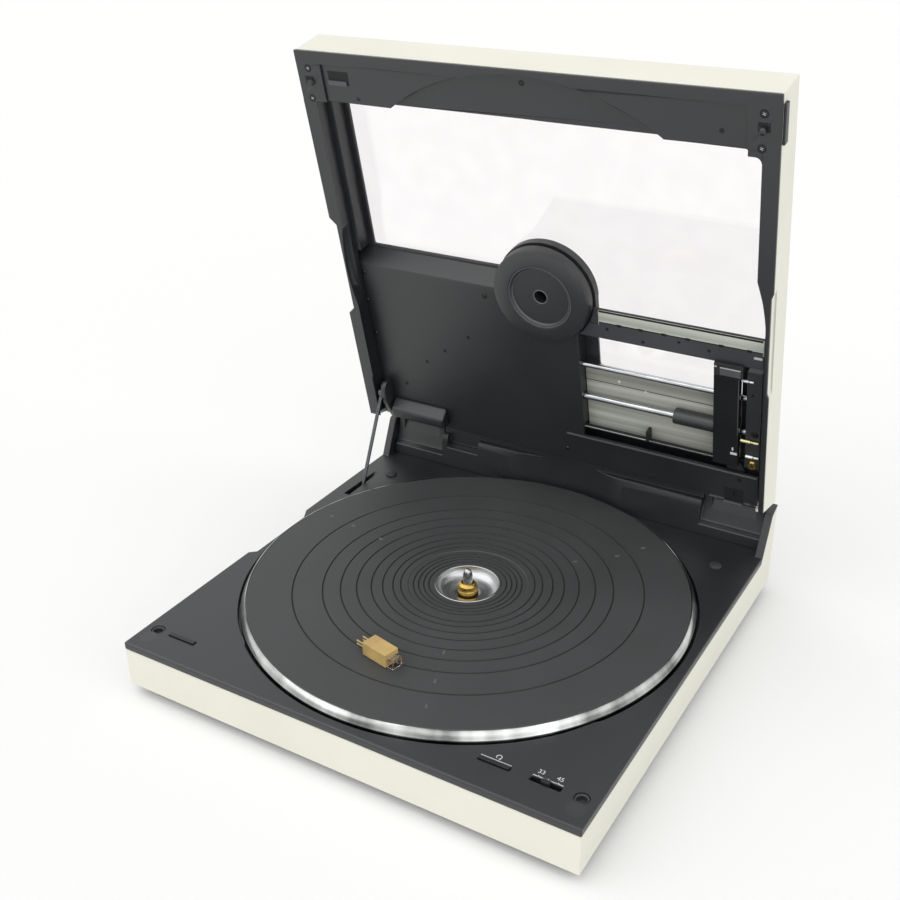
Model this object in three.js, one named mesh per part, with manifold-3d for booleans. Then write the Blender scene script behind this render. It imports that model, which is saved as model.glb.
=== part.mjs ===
// A turntable with a linear tracking arm: a low square cabinet with a platter let into its deck,
// and a hinged lid that carries the arm, its guide rods, a record clamp and a window.
import * as THREE from "three";
import { mergeVertices } from "three/addons/utils/BufferGeometryUtils.js";
import Module from "manifold-3d";

const wasm = await Module();
wasm.setup();

// Lengths are in millimetres. X runs right, Y to the rear and Z up. The origin lies on the
// table under the middle of the cabinet. Angles are in degrees.

// Cabinet, bottom and feet.
const CABINET_WIDTH = 315;
const CABINET_DEPTH = 315;
const BAND_HEIGHT = 27;
const CABINET_WALL = 3;
const FOOT_HEIGHT = 7;
const FOOT_RADIUS = 14;
const FOOT_TAPER = 1.5;
const FOOT_INSET = 35;
const BOTTOM_THICKNESS = 2.5;
const CLEARANCE = 0.3;
const OVERRUN = 1;
const WELD = 0.001;

// Deck, its well and the small things let into it.
const DECK_THICKNESS = 5;
const DECK_BEVEL = 1;
const WELL_RADIUS = 151.5;
const WELL_FLOOR_THICKNESS = 1.5;
const WELL_LIP = 2;
const WELL_LIP_RISE = 2;
const MOTOR_HOLE_RADIUS = 58;
const CHEEK_WIDTH = 5.5;
const CHEEK_CAP = 2;
const FINGER_NOTCH_DEPTH = 4.6;
const FINGER_NOTCH_FRONT = -32;
const FINGER_NOTCH_REAR = 22;
const FINGER_NOTCH_FRONT_RAMP = 5;
const FINGER_NOTCH_REAR_RAMP = 11;
const DECK_FLOOR_INSET = 13.5;
const CORNER_HOLE_SIDE_INSET = 9.5;
const CORNER_HOLE_FRONT_INSET = 20.5;
const CORNER_HOLE_RADIUS = 4.6;
const BUMPER_SIDE_INSET = 25;
const BUMPER_REAR_INSET = 48.5;
const BUMPER_RADIUS = 4.4;
const BUMPER_HEIGHT = 2.2;

// Hinge, and the raised rear of the deck that covers it.
const HINGE_SETBACK = 3.9;
const HINGE_RISE = 30.3;
const HUMP_RISE = 1.5;
const HINGE_PIN_RADIUS = 1.6;
const KNUCKLE_WALL = 1.5;
const HINGE_POCKET_REACH = 50.5;
const SIDE_POCKET_REACH = 82.5;
const POCKET_RIB = 5;
const POCKET_FACE_RISE = 7.8;
const POCKET_BEVEL_RUN = 4;
const POCKET_BEVEL_RISE = 2.5;
const POCKET_BACK_RISE = 19.5;
const POCKET_BACK_RUN = 6.5;
const POCKET_WALL = 0.8;
const SIDE_POCKET_FACE_RISE = 16;
const REAR_RIDGE_FACE_RISE = 21.5;
const REAR_RIDGE_RISE = 26.5;
const REAR_RIDGE_LEDGE = 6;
const EAR_WIDTH = 5;
const EAR_MARGIN = 1;
const HINGE_ARM_WIDTH = 28;
const HINGE_ARM_PLATE = 2;
const HINGE_ARM_FOOT = 16;
const HINGE_ARM_TOP = 30;

// Lid: a shell with a slanted rear end, a frame inside it and a window.
const LID_SETBACK = 24;
const LID_HEIGHT = 28;
const LID_WALL = 2.5;
const END_RUN = 12.4;
const END_GAP = 0.8;
const OPEN_ANGLE = 76.83;
const RIM_THICKNESS = 1.5;
const RIM_WIDTH = 10;
const FRONT_BAR_WIDTH = 33;
const BAR_ARC_WALL = 2.5;
const BAR_RECESS_DEPTH = 1.6;
const BAR_RECESS_INSET = 18.5;
const BAR_RIM = 8;
const RECORD_ARC_MARGIN = 2.5;
const RECORD_THICKNESS = 1.2;
const RIM_PLATTER_GAP = 0.8;
const WEB_THICKNESS = 2;
const WINDOW_THICKNESS = 3;
const WINDOW_LAP = 3;
const WINDOW_LEFT_INSET = 17.5;
const WINDOW_RIGHT_INSET = 10.5;
const WINDOW_SLOPE_GAP = 2;
const WINDOW_BAR_GAP = 6;
const WINDOW_NOTCH_LEFT = 33;
const WINDOW_NOTCH_NEAR = 76;
const SIDE_STEP_LEFT = 3.5;
const SIDE_STEP_RIGHT = 3;
const LID_NOTCH_DEPTH = 6.5;
const LID_NOTCH_RAMP = 6;
const LID_NOTCH_LEFT_RUN = 5;
const LID_NOTCH_RIGHT_RUN = 1.2;
const LID_NOTCH_REAR_REACH = 34.9;
const LID_NOTCH_FRONT_REACH = 33.4;

// Panel over the arm drive, with its rear cable cover.
const PANEL_DEPTH = 12;
const PANEL_THICKNESS = 2;
const PANEL_INSET = 6.8;
const PANEL_RIGHT = 23;
const PANEL_AXIS_GAP = 2.5;
const PANEL_LEDGE_RUN = 9;
const PANEL_SLOPE_INSET = 2.4;
const RECESS_NEAR = 20;
const ROD_BLOCK_WIDTH = 7;
const RIDGE_LEFT = 9.6;
const RIDGE_HEIGHT = 1;
const RIDGE_WIDTH = 1.6;
const CABLE_COVER_OUTER_INSET = 18.5;
const CABLE_COVER_INNER_INSET = 65.5;
const CABLE_COVER_HEIGHT = 9;
const CABLE_COVER_FOOT = 14;
const CABLE_COVER_TOP = 8;
const CABLE_COVER_END = 3;

// Record clamp.
const CLAMP_RADIUS = 34.5;
const CLAMP_FACE_DEPTH = 6.2;
const CLAMP_THICKNESS = 9;
const CLAMP_CHAMFER = 1.2;
const CLAMP_DISH_RADIUS = 22.4;
const CLAMP_DISH_DEPTH = 1.8;
const CLAMP_BORE_RADIUS = 4.5;
const CLAMP_FLOOR = 1.6;
const CLAMP_SHAFT_RADIUS = 8;
const CLAMP_SHAFT_BORE = 5;
const CLAMP_STROKE = 1.5;
const HOUSING_RADIUS = 35.5;
const HOUSING_GAP = 1.8;
const HOUSING_ROOF = 1;
const HOUSING_BRACKET_LEFT = 20;

// Arm drive: two rods, a plate behind them, a bridge and scale strip above them, and end block.
const ROD_DEPTH = 16.9;
const UPPER_ROD_PLACE = 79.5;
const UPPER_ROD_RADIUS = 2;
const LOWER_ROD_PLACE = 52.5;
const LOWER_ROD_RADIUS = 2.4;
const ROD_SEAT = 5;
const END_BLOCK_WIDTH = 9.9;
const END_BLOCK_NEAR = 26;
const END_BLOCK_FAR = 104;
const PLATE_THICKNESS = 2;
const PLATE_NEAR = 20.5;
const PLATE_FAR = 76.5;
const BRIDGE_REACH = 26.5;
const BRIDGE_WIDTH = 10;
const BRIDGE_DEPTH = 12.3;
const BRIDGE_THICKNESS = 3;
const BRIDGE_LEFT = 24;
const BRIDGE_SHELF_WIDTH = 12;
const BRIDGE_SHELF_THICKNESS = 1.4;
const STRIP_REACH = 11.5;
const STRIP_LEFT = 39;
const STRIP_THICKNESS = 1;
const BELT_MIDDLE = 20.5;
const BELT_HALF = 7;
const BELT_WIDTH = 3;
const BELT_THICKNESS = 1.4;
const DRIVE_MOTOR_X = -30;
const DRIVE_MOTOR_RADIUS = 11;
const IDLER_REACH = 7.4;

// Carriage, sleeve and tone arm.
const ARM_REACH = 20.8;
const ARM_WIDTH = 17;
const ARM_DEPTH = 9;
const ARM_THICKNESS = 4;
const ARM_NEAR = 27;
const ARM_PIVOT_PLACE = 40;
const ARM_PIVOT_DEPTH = 15.5;
const ARM_PIN_RADIUS = 1.2;
const ARM_LUG_HALF = 2.5;
const HEADSHELL_NEAR = 99;
const HEADSHELL_FAR = 106.5;
const HEADSHELL_WIDTH = 19;
const HEADSHELL_HEIGHT = 7;
const HEADSHELL_LIP = 2.1;
const HEADSHELL_LIP_THICKNESS = 2.6;
const CARRIAGE_WIDTH = 14;
const CARRIAGE_INSET = 1;
const CARRIAGE_CHEEK = 3.7;
const CARRIAGE_CHEEK_NEAR = 36;
const CARRIAGE_NEAR = 44;
const CARRIAGE_FAR = 90;
const SLEEVE_LENGTH = 29;
const SLEEVE_RADIUS = 5.5;

// Lid strut, its bracket and the slot and guide that it slides in.
const STRUT_INSET = 12.3;
const STRUT_PLACE = 21;
const STRUT_DEPTH = 4;
const STRUT_LENGTH = 76;
const STRUT_RADIUS = 1.4;
const STRUT_EYE_RADIUS = 3;
const STRUT_PIN_RADIUS = 1.2;
const STRUT_LEAN = 65.08;
const STRUT_SLOT_HALF = 2;
const STRUT_SLOT_FRONT = 66.3;
const STRUT_SLOT_REAR = 106.7;
const STRUT_SLOT_FRONT_RUN = 5;
const STRUT_SLOT_REAR_RUN = 11.3;
const STRUT_EAR_WIDTH = 3;
const STRUT_EAR_RADIUS = 3.4;
const STRUT_EAR_FOOT = 10;
const GUIDE_WALL = 1.2;
const GUIDE_FRONT = 37;
const GUIDE_REAR = 110;
const RIM_SLOT_FAR = 37;
const RIM_SLOT_DEPTH = 8.5;
const RIM_SLOT_HALF = 3.2;

// Platter, mat, spindle and the motor under them.
const PLATTER_RADIUS = 150;
const PLATTER_BEVEL = 3;
const PLATTER_LIP = 0.7;
const PLATTER_FLOAT = 1.5;
const PLATTER_RIM_STRAIGHT = 4.5;
const PLATTER_RIM_RISE = 4.5;
const PLATTER_WEB = 6.4;
const BOWL_RADIUS = 20.7;
const BOWL_RIM = 1.3;
const BOWL_HOLE_RADIUS = 8.7;
const BOWL_DEPTH = 7.3;
const BOSS_RADIUS = 14;
const BOSS_DEPTH = 5.5;
const HUB_SEAT_DEPTH = 3;
const MAT_TOP = 5.7;
const MAT_THICKNESS = 2.5;
const MAT_LABEL_RADIUS = 40;
const MAT_LABEL_DROP = 0.5;
const MAT_GROOVE_WIDTH = 1.3;
const MAT_GROOVE_DEPTH = 0.6;
const MAT_GROOVE_SHARES = [0.507, 0.66, 0.793];
const HUB_RADIUS = 6.95;
const HUB_RISE = 0.7;
const HUB_CHAMFER = 1.2;
const SPINDLE_RADIUS = 3.25;
const SPINDLE_RISE = 10.9;
const BEARING_RADIUS = 9;
const BEARING_HEIGHT = 16.7;
const BEARING_FLOOR = 4;
const STATOR_RADIUS = 46;
const STATOR_HEIGHT = 9;
const STATOR_TOP_SHARE = 0.9;
const STATOR_CORE_SHARE = 0.5;
const ROTOR_RADIUS = 45;
const ROTOR_BORE = 22;
const ROTOR_HEIGHT = 5.5;
const BOARD_THICKNESS = 1.6;
const BOARD_STANDOFF = 3;

// Controls along the front of the deck.
const POWER_INSET = 29.3;
const POWER_WIDTH = 20;
const REPEAT_INSET = 62.1;
const REPEAT_WIDTH = 19;
const SELECTOR_INSET = 30.9;
const SELECTOR_SLOT = 18;
const CONTROL_INSET = 21.1;
const BUTTON_DEPTH = 3;
const BUTTON_PROUD = 0.8;
const BUTTON_STROKE = 1.5;
const BUTTON_FLANGE = 1.2;
const BUTTON_SHOULDER = 1;
const SELECTOR_KNOB = 5;
const SELECTOR_FOOT = 8;
const SELECTOR_PROUD = 1.6;
const SWITCH_DEPTH = 9;
const SWITCH_HEIGHT = 6;
const CONTROL_BOARD_INSET = 15.5;
const CONTROL_BOARD_DEPTH = 24;

// Things inside the cabinet and at its rear.
const TRANSFORMER_WIDTH = 48;
const TRANSFORMER_DEPTH = 40;
const TRANSFORMER_HEIGHT = 20;
const TRANSFORMER_SIDE_INSET = 65.5;
const TRANSFORMER_REAR_INSET = 73.5;
const TRANSFORMER_COIL_WIDTH = 28;
const TRANSFORMER_COIL_PROUD = 5;
const MAIN_BOARD_WIDTH = 76;
const MAIN_BOARD_DEPTH = 150;
const MAIN_BOARD_INSET = 59.5;
const INLET_INSET = 45.5;
const INLET_WIDTH = 24;
const INLET_HEIGHT = 15;
const INLET_DEPTH = 20;
const INLET_WALL = 2.5;
const INLET_RISE = 6;
const INLET_PIN = 2.4;
const INLET_PIN_LENGTH = 8;
const INLET_PIN_SPACING = 7;
const SOCKET_INSET = 45.5;
const SOCKET_PLATE_WIDTH = 44;
const SOCKET_PLATE_HEIGHT = 16;
const SOCKET_PLATE_DEPTH = 12;
const SOCKET_RADIUS = 4;
const SOCKET_BORE = 1.7;
const SOCKET_SPACING = 16;

// Keys on the lid's front strip and the catch buttons on its sides.
const KEY_WIDTH = 24;
const KEY_DEPTH = 10;
const KEY_GAP = 4;
const KEY_INSET = 19;
const KEY_PROUD = 0.8;
const KEY_HEIGHT = 6;
const KEY_STROKE = 1.5;
const KEY_BOARD_GAP = 1;
const KEY_FLANGE = 1;
const CATCH_LENGTH = 23;
const CATCH_INSET = 6;
const CATCH_DEPTH = 2.2;
const CATCH_HEIGHT = 5;
const CATCH_THICKNESS = 4;
const CATCH_PROUD = 1.5;
const CATCH_STROKE = 1.2;
const CATCH_PIN_RADIUS = 2;
const CATCH_PIN_LENGTH = 2.6;

// Cartridge lying on the mat.
const CARTRIDGE_X = -5.2;
const CARTRIDGE_Y = -96.2;
const CARTRIDGE_TURN = -13;
const CARTRIDGE_LENGTH = 20;
const CARTRIDGE_WIDTH = 11;
const CARTRIDGE_HEIGHT = 9;
const CARTRIDGE_PIN = 0.9;
const CARTRIDGE_PIN_LENGTH = 8;
const CARTRIDGE_PIN_SPACING = 2.5;
const GUARD_LENGTH = 4.5;
const GUARD_WIDTH = 8;
const GUARD_HEIGHT = 6;
const GUARD_WALL = 1;

// Levels and faces that several pieces share.
const halfWidth = CABINET_WIDTH / 2;
const halfDepth = CABINET_DEPTH / 2;
const innerHalfWidth = halfWidth - CABINET_WALL;
const innerHalfDepth = halfDepth - CABINET_WALL;
const bandTop = FOOT_HEIGHT + BAND_HEIGHT;
const deckTop = bandTop + DECK_THICKNESS;
const bottomTop = FOOT_HEIGHT + CLEARANCE + BOTTOM_THICKNESS;
const hingeY = halfDepth - HINGE_SETBACK;
const hingeZ = deckTop + HINGE_RISE;
const humpZ = hingeZ + HUMP_RISE;
const knuckleBore = HINGE_PIN_RADIUS + CLEARANCE;
const knuckleRadius = knuckleBore + KNUCKLE_WALL;
const rimZ = deckTop + CLEARANCE;
const lidLength = CABINET_DEPTH - LID_SETBACK;
const lidRearY = lidLength - halfDepth;
const lidTopZ = rimZ + LID_HEIGHT;
const wellFloorTop = bandTop;
const wellFloorBottom = wellFloorTop - WELL_FLOOR_THICKNESS;
const axisPlace = lidRearY;
const openTurn = THREE.MathUtils.degToRad(OPEN_ANGLE);

// Places that follow the cabinet, the well, the lid or a neighbour.
const cornerHoleX = halfWidth - CORNER_HOLE_SIDE_INSET;
const cornerHoleY = CORNER_HOLE_FRONT_INSET - halfDepth;
const bumperX = halfWidth - BUMPER_SIDE_INSET;
const bumperY = halfDepth - BUMPER_REAR_INSET;
const hingePocketInner = halfWidth - HINGE_POCKET_REACH;
const sidePocketInner = halfWidth - SIDE_POCKET_REACH;
const deckFloorRear = halfDepth - DECK_FLOOR_INSET;
const barRecessHalf = halfWidth - BAR_RECESS_INSET;
const recordArcRadius = WELL_RADIUS + RECORD_ARC_MARGIN;
const windowLeft = halfWidth - WINDOW_LEFT_INSET;
const windowRight = halfWidth - WINDOW_RIGHT_INSET;
const lidNotchNear = axisPlace - LID_NOTCH_REAR_REACH;
const lidNotchFar = axisPlace + LID_NOTCH_FRONT_REACH;
const panelLeft = halfWidth - PANEL_INSET;
const panelFar = axisPlace - PANEL_AXIS_GAP;
const windowNear = panelFar + PANEL_LEDGE_RUN + WINDOW_SLOPE_GAP;
const windowFar = lidLength - FRONT_BAR_WIDTH - WINDOW_BAR_GAP;
const cableCoverLeft = halfWidth - CABLE_COVER_OUTER_INSET;
const cableCoverRight = halfWidth - CABLE_COVER_INNER_INSET;
const endBlockLeft = windowRight + SIDE_STEP_RIGHT - CLEARANCE - END_BLOCK_WIDTH;
const idlerX = endBlockLeft - IDLER_REACH;
const armLeft = endBlockLeft - ARM_REACH;
const bridgeNear = axisPlace - BRIDGE_REACH;
const bridgeFar = bridgeNear + BRIDGE_WIDTH;
const bridgeShelfFar = bridgeFar + BRIDGE_SHELF_WIDTH;
const stripFar = bridgeFar + STRIP_REACH;
const powerCentre = POWER_INSET - halfWidth;
const repeatCentre = halfWidth - REPEAT_INSET;
const selectorCentre = halfWidth - SELECTOR_INSET;
const controlLine = CONTROL_INSET - halfDepth;
const controlBoardHalf = halfWidth - CONTROL_BOARD_INSET;
const transformerX = TRANSFORMER_SIDE_INSET - halfWidth;
const transformerY = halfDepth - TRANSFORMER_REAR_INSET;
const mainBoardX = halfWidth - MAIN_BOARD_INSET;
const inletX = halfWidth - INLET_INSET;
const socketX = SOCKET_INSET - halfWidth;
const catchFar = lidLength - CATCH_INSET;
const catchNear = catchFar - CATCH_LENGTH;
const keyPlace = lidLength - KEY_INSET;
const strutX = STRUT_INSET - halfWidth;

// Counts of flat sides on round pieces.
const WIDE_SIDES = 60;
const ROUND_SIDES = 40;
const SMALL_SIDES = 20;
const TINY_SIDES = 12;

// Colours, roughness and metalness of the materials.
const CREAM = { color: 0xe6e2d2, roughness: 0.55, metalness: 0 };
const CHARCOAL = { color: 0x2b2d30, roughness: 0.6, metalness: 0 };
const DARK_METAL = { color: 0x55585c, roughness: 0.5, metalness: 0.6 };
const RUBBER = { color: 0x333436, roughness: 0.85, metalness: 0 };
const POLISHED = { color: 0xc9cbcd, roughness: 0.18, metalness: 1 };
const BRUSHED = { color: 0xb4b6b4, roughness: 0.4, metalness: 1 };
const BRASS = { color: 0xb08f3e, roughness: 0.3, metalness: 1 };
const PLATE_GREY = { color: 0xa3a596, roughness: 0.5, metalness: 0.5 };
const BOARD_GREEN = { color: 0x2e5a3a, roughness: 0.7, metalness: 0 };
const COPPER = { color: 0x9a5a30, roughness: 0.5, metalness: 0.8 };
const MAGNET = { color: 0x3a3a3d, roughness: 0.7, metalness: 0.3 };
const CLEAR = { color: 0xf2ecee, roughness: 0.08, metalness: 0, transparent: true, opacity: 0.35 };
const CARTRIDGE_GOLD = { color: 0xc0a678, roughness: 0.45, metalness: 0.3 };

// A closed geometry as a solid that can be joined to others and cut.
function solidOf(geometry) {
  const bare = geometry.clone();
  bare.deleteAttribute("normal");
  bare.deleteAttribute("uv");
  const merged = mergeVertices(bare, WELD);
  const corners = merged.index.array;
  const kept = [];
  for (let i = 0; i < corners.length; i += 3) {
    const [a, b, c] = corners.subarray(i, i + 3);
    if (a !== b && b !== c && c !== a) kept.push(a, b, c);
  }
  const mesh = new wasm.Mesh({
    numProp: 3,
    vertProperties: merged.attributes.position.array,
    triVerts: new Uint32Array(kept),
  });
  return new wasm.Manifold(mesh);
}

// A box between two values on each axis.
function block(x0, x1, y0, y1, z0, z1) {
  const box = new THREE.BoxGeometry(x1 - x0, y1 - y0, z1 - z0);
  return solidOf(box.translate((x0 + x1) / 2, (y0 + y1) / 2, (z0 + z1) / 2));
}

// A straight prism on an outline, before it is turned to its axis.
function extruded(points, length) {
  const shape = new THREE.Shape(points.map(([a, b]) => new THREE.Vector2(a, b)));
  return new THREE.ExtrudeGeometry(shape, { depth: length, bevelEnabled: false });
}

// A prism along Z on points (x, y).
function prismZ(points, z0, z1) {
  return solidOf(extruded(points, z1 - z0).translate(0, 0, z0));
}

// A prism along X on points (y, z).
function prismX(points, x0, x1) {
  const turn = new THREE.Matrix4().makeBasis(
    new THREE.Vector3(0, 1, 0),
    new THREE.Vector3(0, 0, 1),
    new THREE.Vector3(1, 0, 0),
  );
  return solidOf(extruded(points, x1 - x0).applyMatrix4(turn).translate(x0, 0, 0));
}

// A round bar along Z, and one along X.
function barZ(x, y, radius, z0, z1, sides) {
  const bar = new THREE.CylinderGeometry(radius, radius, z1 - z0, sides);
  return solidOf(bar.rotateX(Math.PI / 2).translate(x, y, (z0 + z1) / 2));
}
function barX(y, z, radius, x0, x1, sides) {
  const bar = new THREE.CylinderGeometry(radius, radius, x1 - x0, sides);
  return solidOf(bar.rotateZ(Math.PI / 2).translate((x0 + x1) / 2, y, z));
}

// A piece turned about a vertical axis, on points (radius, z) that go up on the outside.
function turned(points, sides) {
  const profile = points.map(([r, z]) => new THREE.Vector2(r, z));
  return solidOf(new THREE.LatheGeometry(profile, sides).rotateX(Math.PI / 2));
}

// A ring on a closed outline of points (radius, z).
function ring(points, sides) {
  return turned([...points, points[0]], sides);
}

function joined(first, ...others) {
  return others.reduce((whole, other) => whole.add(other), first);
}

function cut(first, ...others) {
  return others.reduce((whole, other) => whole.subtract(other), first);
}

// Depth n in the closed lid, counted up from its rim, as a height; and a place u, counted
// forward from the rear end of its rim, as a Y.
function lidZ(n) {
  return rimZ + n;
}
function lidY(u) {
  return lidRearY - u;
}

// A box and a prism in the closed lid, in places u and depths n.
function lidBlock(x0, x1, u0, u1, n0, n1) {
  return block(x0, x1, lidY(u1), lidY(u0), lidZ(n0), lidZ(n1));
}
function lidPrism(points, x0, x1) {
  return prismX(points.map(([u, n]) => [lidY(u), lidZ(n)]), x0, x1);
}
function lidPlate(points, n0, n1) {
  return prismZ(points.map(([x, u]) => [x, lidY(u)]), lidZ(n0), lidZ(n1));
}
function lidRod(u, n, radius, x0, x1, sides) {
  return barX(lidY(u), lidZ(n), radius, x0, x1, sides);
}

// The lid's slanted rear end as a place u at depth n, and the cabinet's slope behind it as a Y.
function endPlace(n) {
  return (-n * END_RUN) / LID_HEIGHT;
}
function slopeY(z) {
  return lidY(endPlace(z - rimZ)) + END_GAP;
}

const turntable = new THREE.Group();
turntable.name = "turntable";

// Adds a solid to a group as a named mesh with its own material.
function piece(name, solid, look, group = turntable) {
  const made = solid.getMesh();
  const geometry = new THREE.BufferGeometry();
  geometry.setAttribute("position", new THREE.BufferAttribute(made.vertProperties, 3));
  geometry.setIndex(new THREE.BufferAttribute(made.triVerts, 1));
  const flat = geometry.toNonIndexed();
  flat.computeVertexNormals();
  const mesh = new THREE.Mesh(flat, new THREE.MeshStandardMaterial(look));
  mesh.name = name;
  group.add(mesh);
  return mesh;
}

// Slope and hump of the cabinet's rear, seen from the side, sunk by an amount.
function rearLine(sunk) {
  return [
    [halfDepth, humpZ - sunk],
    [slopeY(lidTopZ) + sunk, lidTopZ - sunk],
    [slopeY(bandTop) + sunk, bandTop],
  ];
}

// Cabinet: a painted band open above and below, whose sides climb at the rear.
const cabinetSide = [
  [-halfDepth, FOOT_HEIGHT],
  [halfDepth, FOOT_HEIGHT],
  ...rearLine(CHEEK_CAP),
  [-halfDepth, bandTop],
];
const hingePocketOuter = halfWidth - CHEEK_WIDTH;
const pocketSill = hingeZ - knuckleRadius - CLEARANCE;
const inletBottom = FOOT_HEIGHT + INLET_RISE;
let cabinet = cut(
  prismX(cabinetSide, -halfWidth, halfWidth),
  block(
    -innerHalfWidth, innerHalfWidth, -innerHalfDepth, innerHalfDepth,
    FOOT_HEIGHT - OVERRUN, humpZ + OVERRUN,
  ),
  block(
    inletX - INLET_WIDTH / 2 - CLEARANCE, inletX + INLET_WIDTH / 2 + CLEARANCE,
    innerHalfDepth - OVERRUN, halfDepth + OVERRUN,
    inletBottom - CLEARANCE, inletBottom + INLET_HEIGHT + CLEARANCE,
  ),
  block(
    socketX - SOCKET_PLATE_WIDTH / 2 - CLEARANCE, socketX + SOCKET_PLATE_WIDTH / 2 + CLEARANCE,
    innerHalfDepth - OVERRUN, halfDepth + OVERRUN,
    inletBottom - CLEARANCE, inletBottom + SOCKET_PLATE_HEIGHT + CLEARANCE,
  ),
);
for (const side of [-1, 1]) {
  const near = side * hingePocketInner;
  const far = side * hingePocketOuter;
  cabinet = cut(
    cabinet,
    block(
      Math.min(near, far), Math.max(near, far),
      innerHalfDepth - OVERRUN, halfDepth + OVERRUN, pocketSill, humpZ + OVERRUN,
    ),
  );
}
piece("base_cabinet", cabinet, CREAM);

// Bottom cover inside the band, and four turned feet under it.
const coverHalfWidth = innerHalfWidth - CLEARANCE;
const coverHalfDepth = innerHalfDepth - CLEARANCE;
piece(
  "bottom_cover",
  block(
    -coverHalfWidth, coverHalfWidth, -coverHalfDepth, coverHalfDepth,
    FOOT_HEIGHT + CLEARANCE, bottomTop,
  ),
  DARK_METAL,
);
const footPlaces = { left: -1, right: 1 };
for (const [side, x] of Object.entries(footPlaces)) {
  for (const [end, y] of Object.entries({ front: -1, rear: 1 })) {
    const foot = turned(
      [[0, 0], [FOOT_RADIUS - FOOT_TAPER, 0], [FOOT_RADIUS, FOOT_HEIGHT], [0, FOOT_HEIGHT]],
      SMALL_SIDES,
    );
    const mesh = piece("foot_" + end + "_" + side, foot, RUBBER);
    mesh.position.set(x * (halfWidth - FOOT_INSET), y * (halfDepth - FOOT_INSET), 0);
  }
}

// Deck: a moulded plate with the well, slots and notches, and a cheek at each rear side.
const deckPocketHalf = halfWidth - CHEEK_WIDTH;
const cheekTop = rearLine(0);
const cheekUnder = rearLine(CHEEK_CAP - CLEARANCE).reverse();
const cheekInner = innerHalfWidth - CLEARANCE;
const deckRear = slopeY(bandTop);
let deck = joined(
  prismX(
    [
      [-halfDepth, bandTop], [deckRear, bandTop], [slopeY(deckTop), deckTop],
      [DECK_BEVEL - halfDepth, deckTop], [-halfDepth, deckTop - DECK_BEVEL],
    ],
    -halfWidth, halfWidth,
  ),
  block(
    -deckPocketHalf - OVERRUN, deckPocketHalf + OVERRUN,
    deckRear - CHEEK_CAP, deckFloorRear - CLEARANCE, bandTop, deckTop,
  ),
  ring(
    [
      [MOTOR_HOLE_RADIUS, wellFloorBottom], [WELL_RADIUS + WELL_LIP, wellFloorBottom],
      [WELL_RADIUS + WELL_LIP, bandTop + WELL_LIP_RISE],
      [WELL_RADIUS - OVERRUN, bandTop + WELL_LIP_RISE], [WELL_RADIUS - OVERRUN, wellFloorTop],
      [MOTOR_HOLE_RADIUS, wellFloorTop],
    ],
    WIDE_SIDES,
  ),
);
for (const side of [-1, 1]) {
  const wall = [deckPocketHalf * side, cheekInner * side].sort((a, b) => a - b);
  const cap = [deckPocketHalf * side, halfWidth * side].sort((a, b) => a - b);
  const wallSide = [
    [deckRear, bandTop],
    [cheekInner, bandTop],
    [cheekInner, humpZ - HUMP_RISE],
    ...cheekTop.slice(1),
  ];
  deck = joined(deck, prismX(wallSide, ...wall), prismX([...cheekTop, ...cheekUnder], ...cap));
}
const notchOuter = halfWidth + OVERRUN;
function fingerNotch(side, run, front, rear, frontRamp, rearRamp) {
  const notchInner = halfWidth - run;
  return [
    [side * notchOuter, front - frontRamp],
    [side * notchInner, front],
    [side * notchInner, rear],
    [side * notchOuter, rear + rearRamp],
  ];
}
const powerHalf = POWER_WIDTH / 2;
const repeatHalf = REPEAT_WIDTH / 2;
const buttonHalf = BUTTON_DEPTH / 2;
function deckSlot(centre, half) {
  return block(
    centre - half - CLEARANCE, centre + half + CLEARANCE,
    controlLine - buttonHalf - CLEARANCE, controlLine + buttonHalf + CLEARANCE,
    bandTop - OVERRUN, deckTop + OVERRUN,
  );
}
deck = cut(
  deck,
  barZ(0, 0, WELL_RADIUS, wellFloorTop, deckTop + OVERRUN, WIDE_SIDES),
  deckSlot(powerCentre, powerHalf),
  deckSlot(repeatCentre, repeatHalf),
  deckSlot(selectorCentre, SELECTOR_SLOT / 2),
  prismX(
    [
      [STRUT_SLOT_FRONT, deckTop + OVERRUN], [STRUT_SLOT_FRONT, deckTop],
      [STRUT_SLOT_FRONT - STRUT_SLOT_FRONT_RUN, bandTop],
      [STRUT_SLOT_FRONT - STRUT_SLOT_FRONT_RUN, bandTop - OVERRUN],
      [STRUT_SLOT_REAR - STRUT_SLOT_REAR_RUN, bandTop - OVERRUN],
      [STRUT_SLOT_REAR - STRUT_SLOT_REAR_RUN, bandTop],
      [STRUT_SLOT_REAR, deckTop], [STRUT_SLOT_REAR, deckTop + OVERRUN],
    ],
    strutX - STRUT_SLOT_HALF, strutX + STRUT_SLOT_HALF,
  ),
  prismZ(
    fingerNotch(
      -1, FINGER_NOTCH_DEPTH, FINGER_NOTCH_FRONT, FINGER_NOTCH_REAR,
      FINGER_NOTCH_FRONT_RAMP, FINGER_NOTCH_REAR_RAMP,
    ),
    bandTop, deckTop + OVERRUN,
  ),
);
for (const side of [-1, 1]) {
  deck = cut(
    deck,
    barZ(
      side * cornerHoleX, cornerHoleY, CORNER_HOLE_RADIUS,
      bandTop - OVERRUN, deckTop + OVERRUN, SMALL_SIDES,
    ),
  );
}
piece("deck_plate", deck, CHARCOAL);

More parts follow.
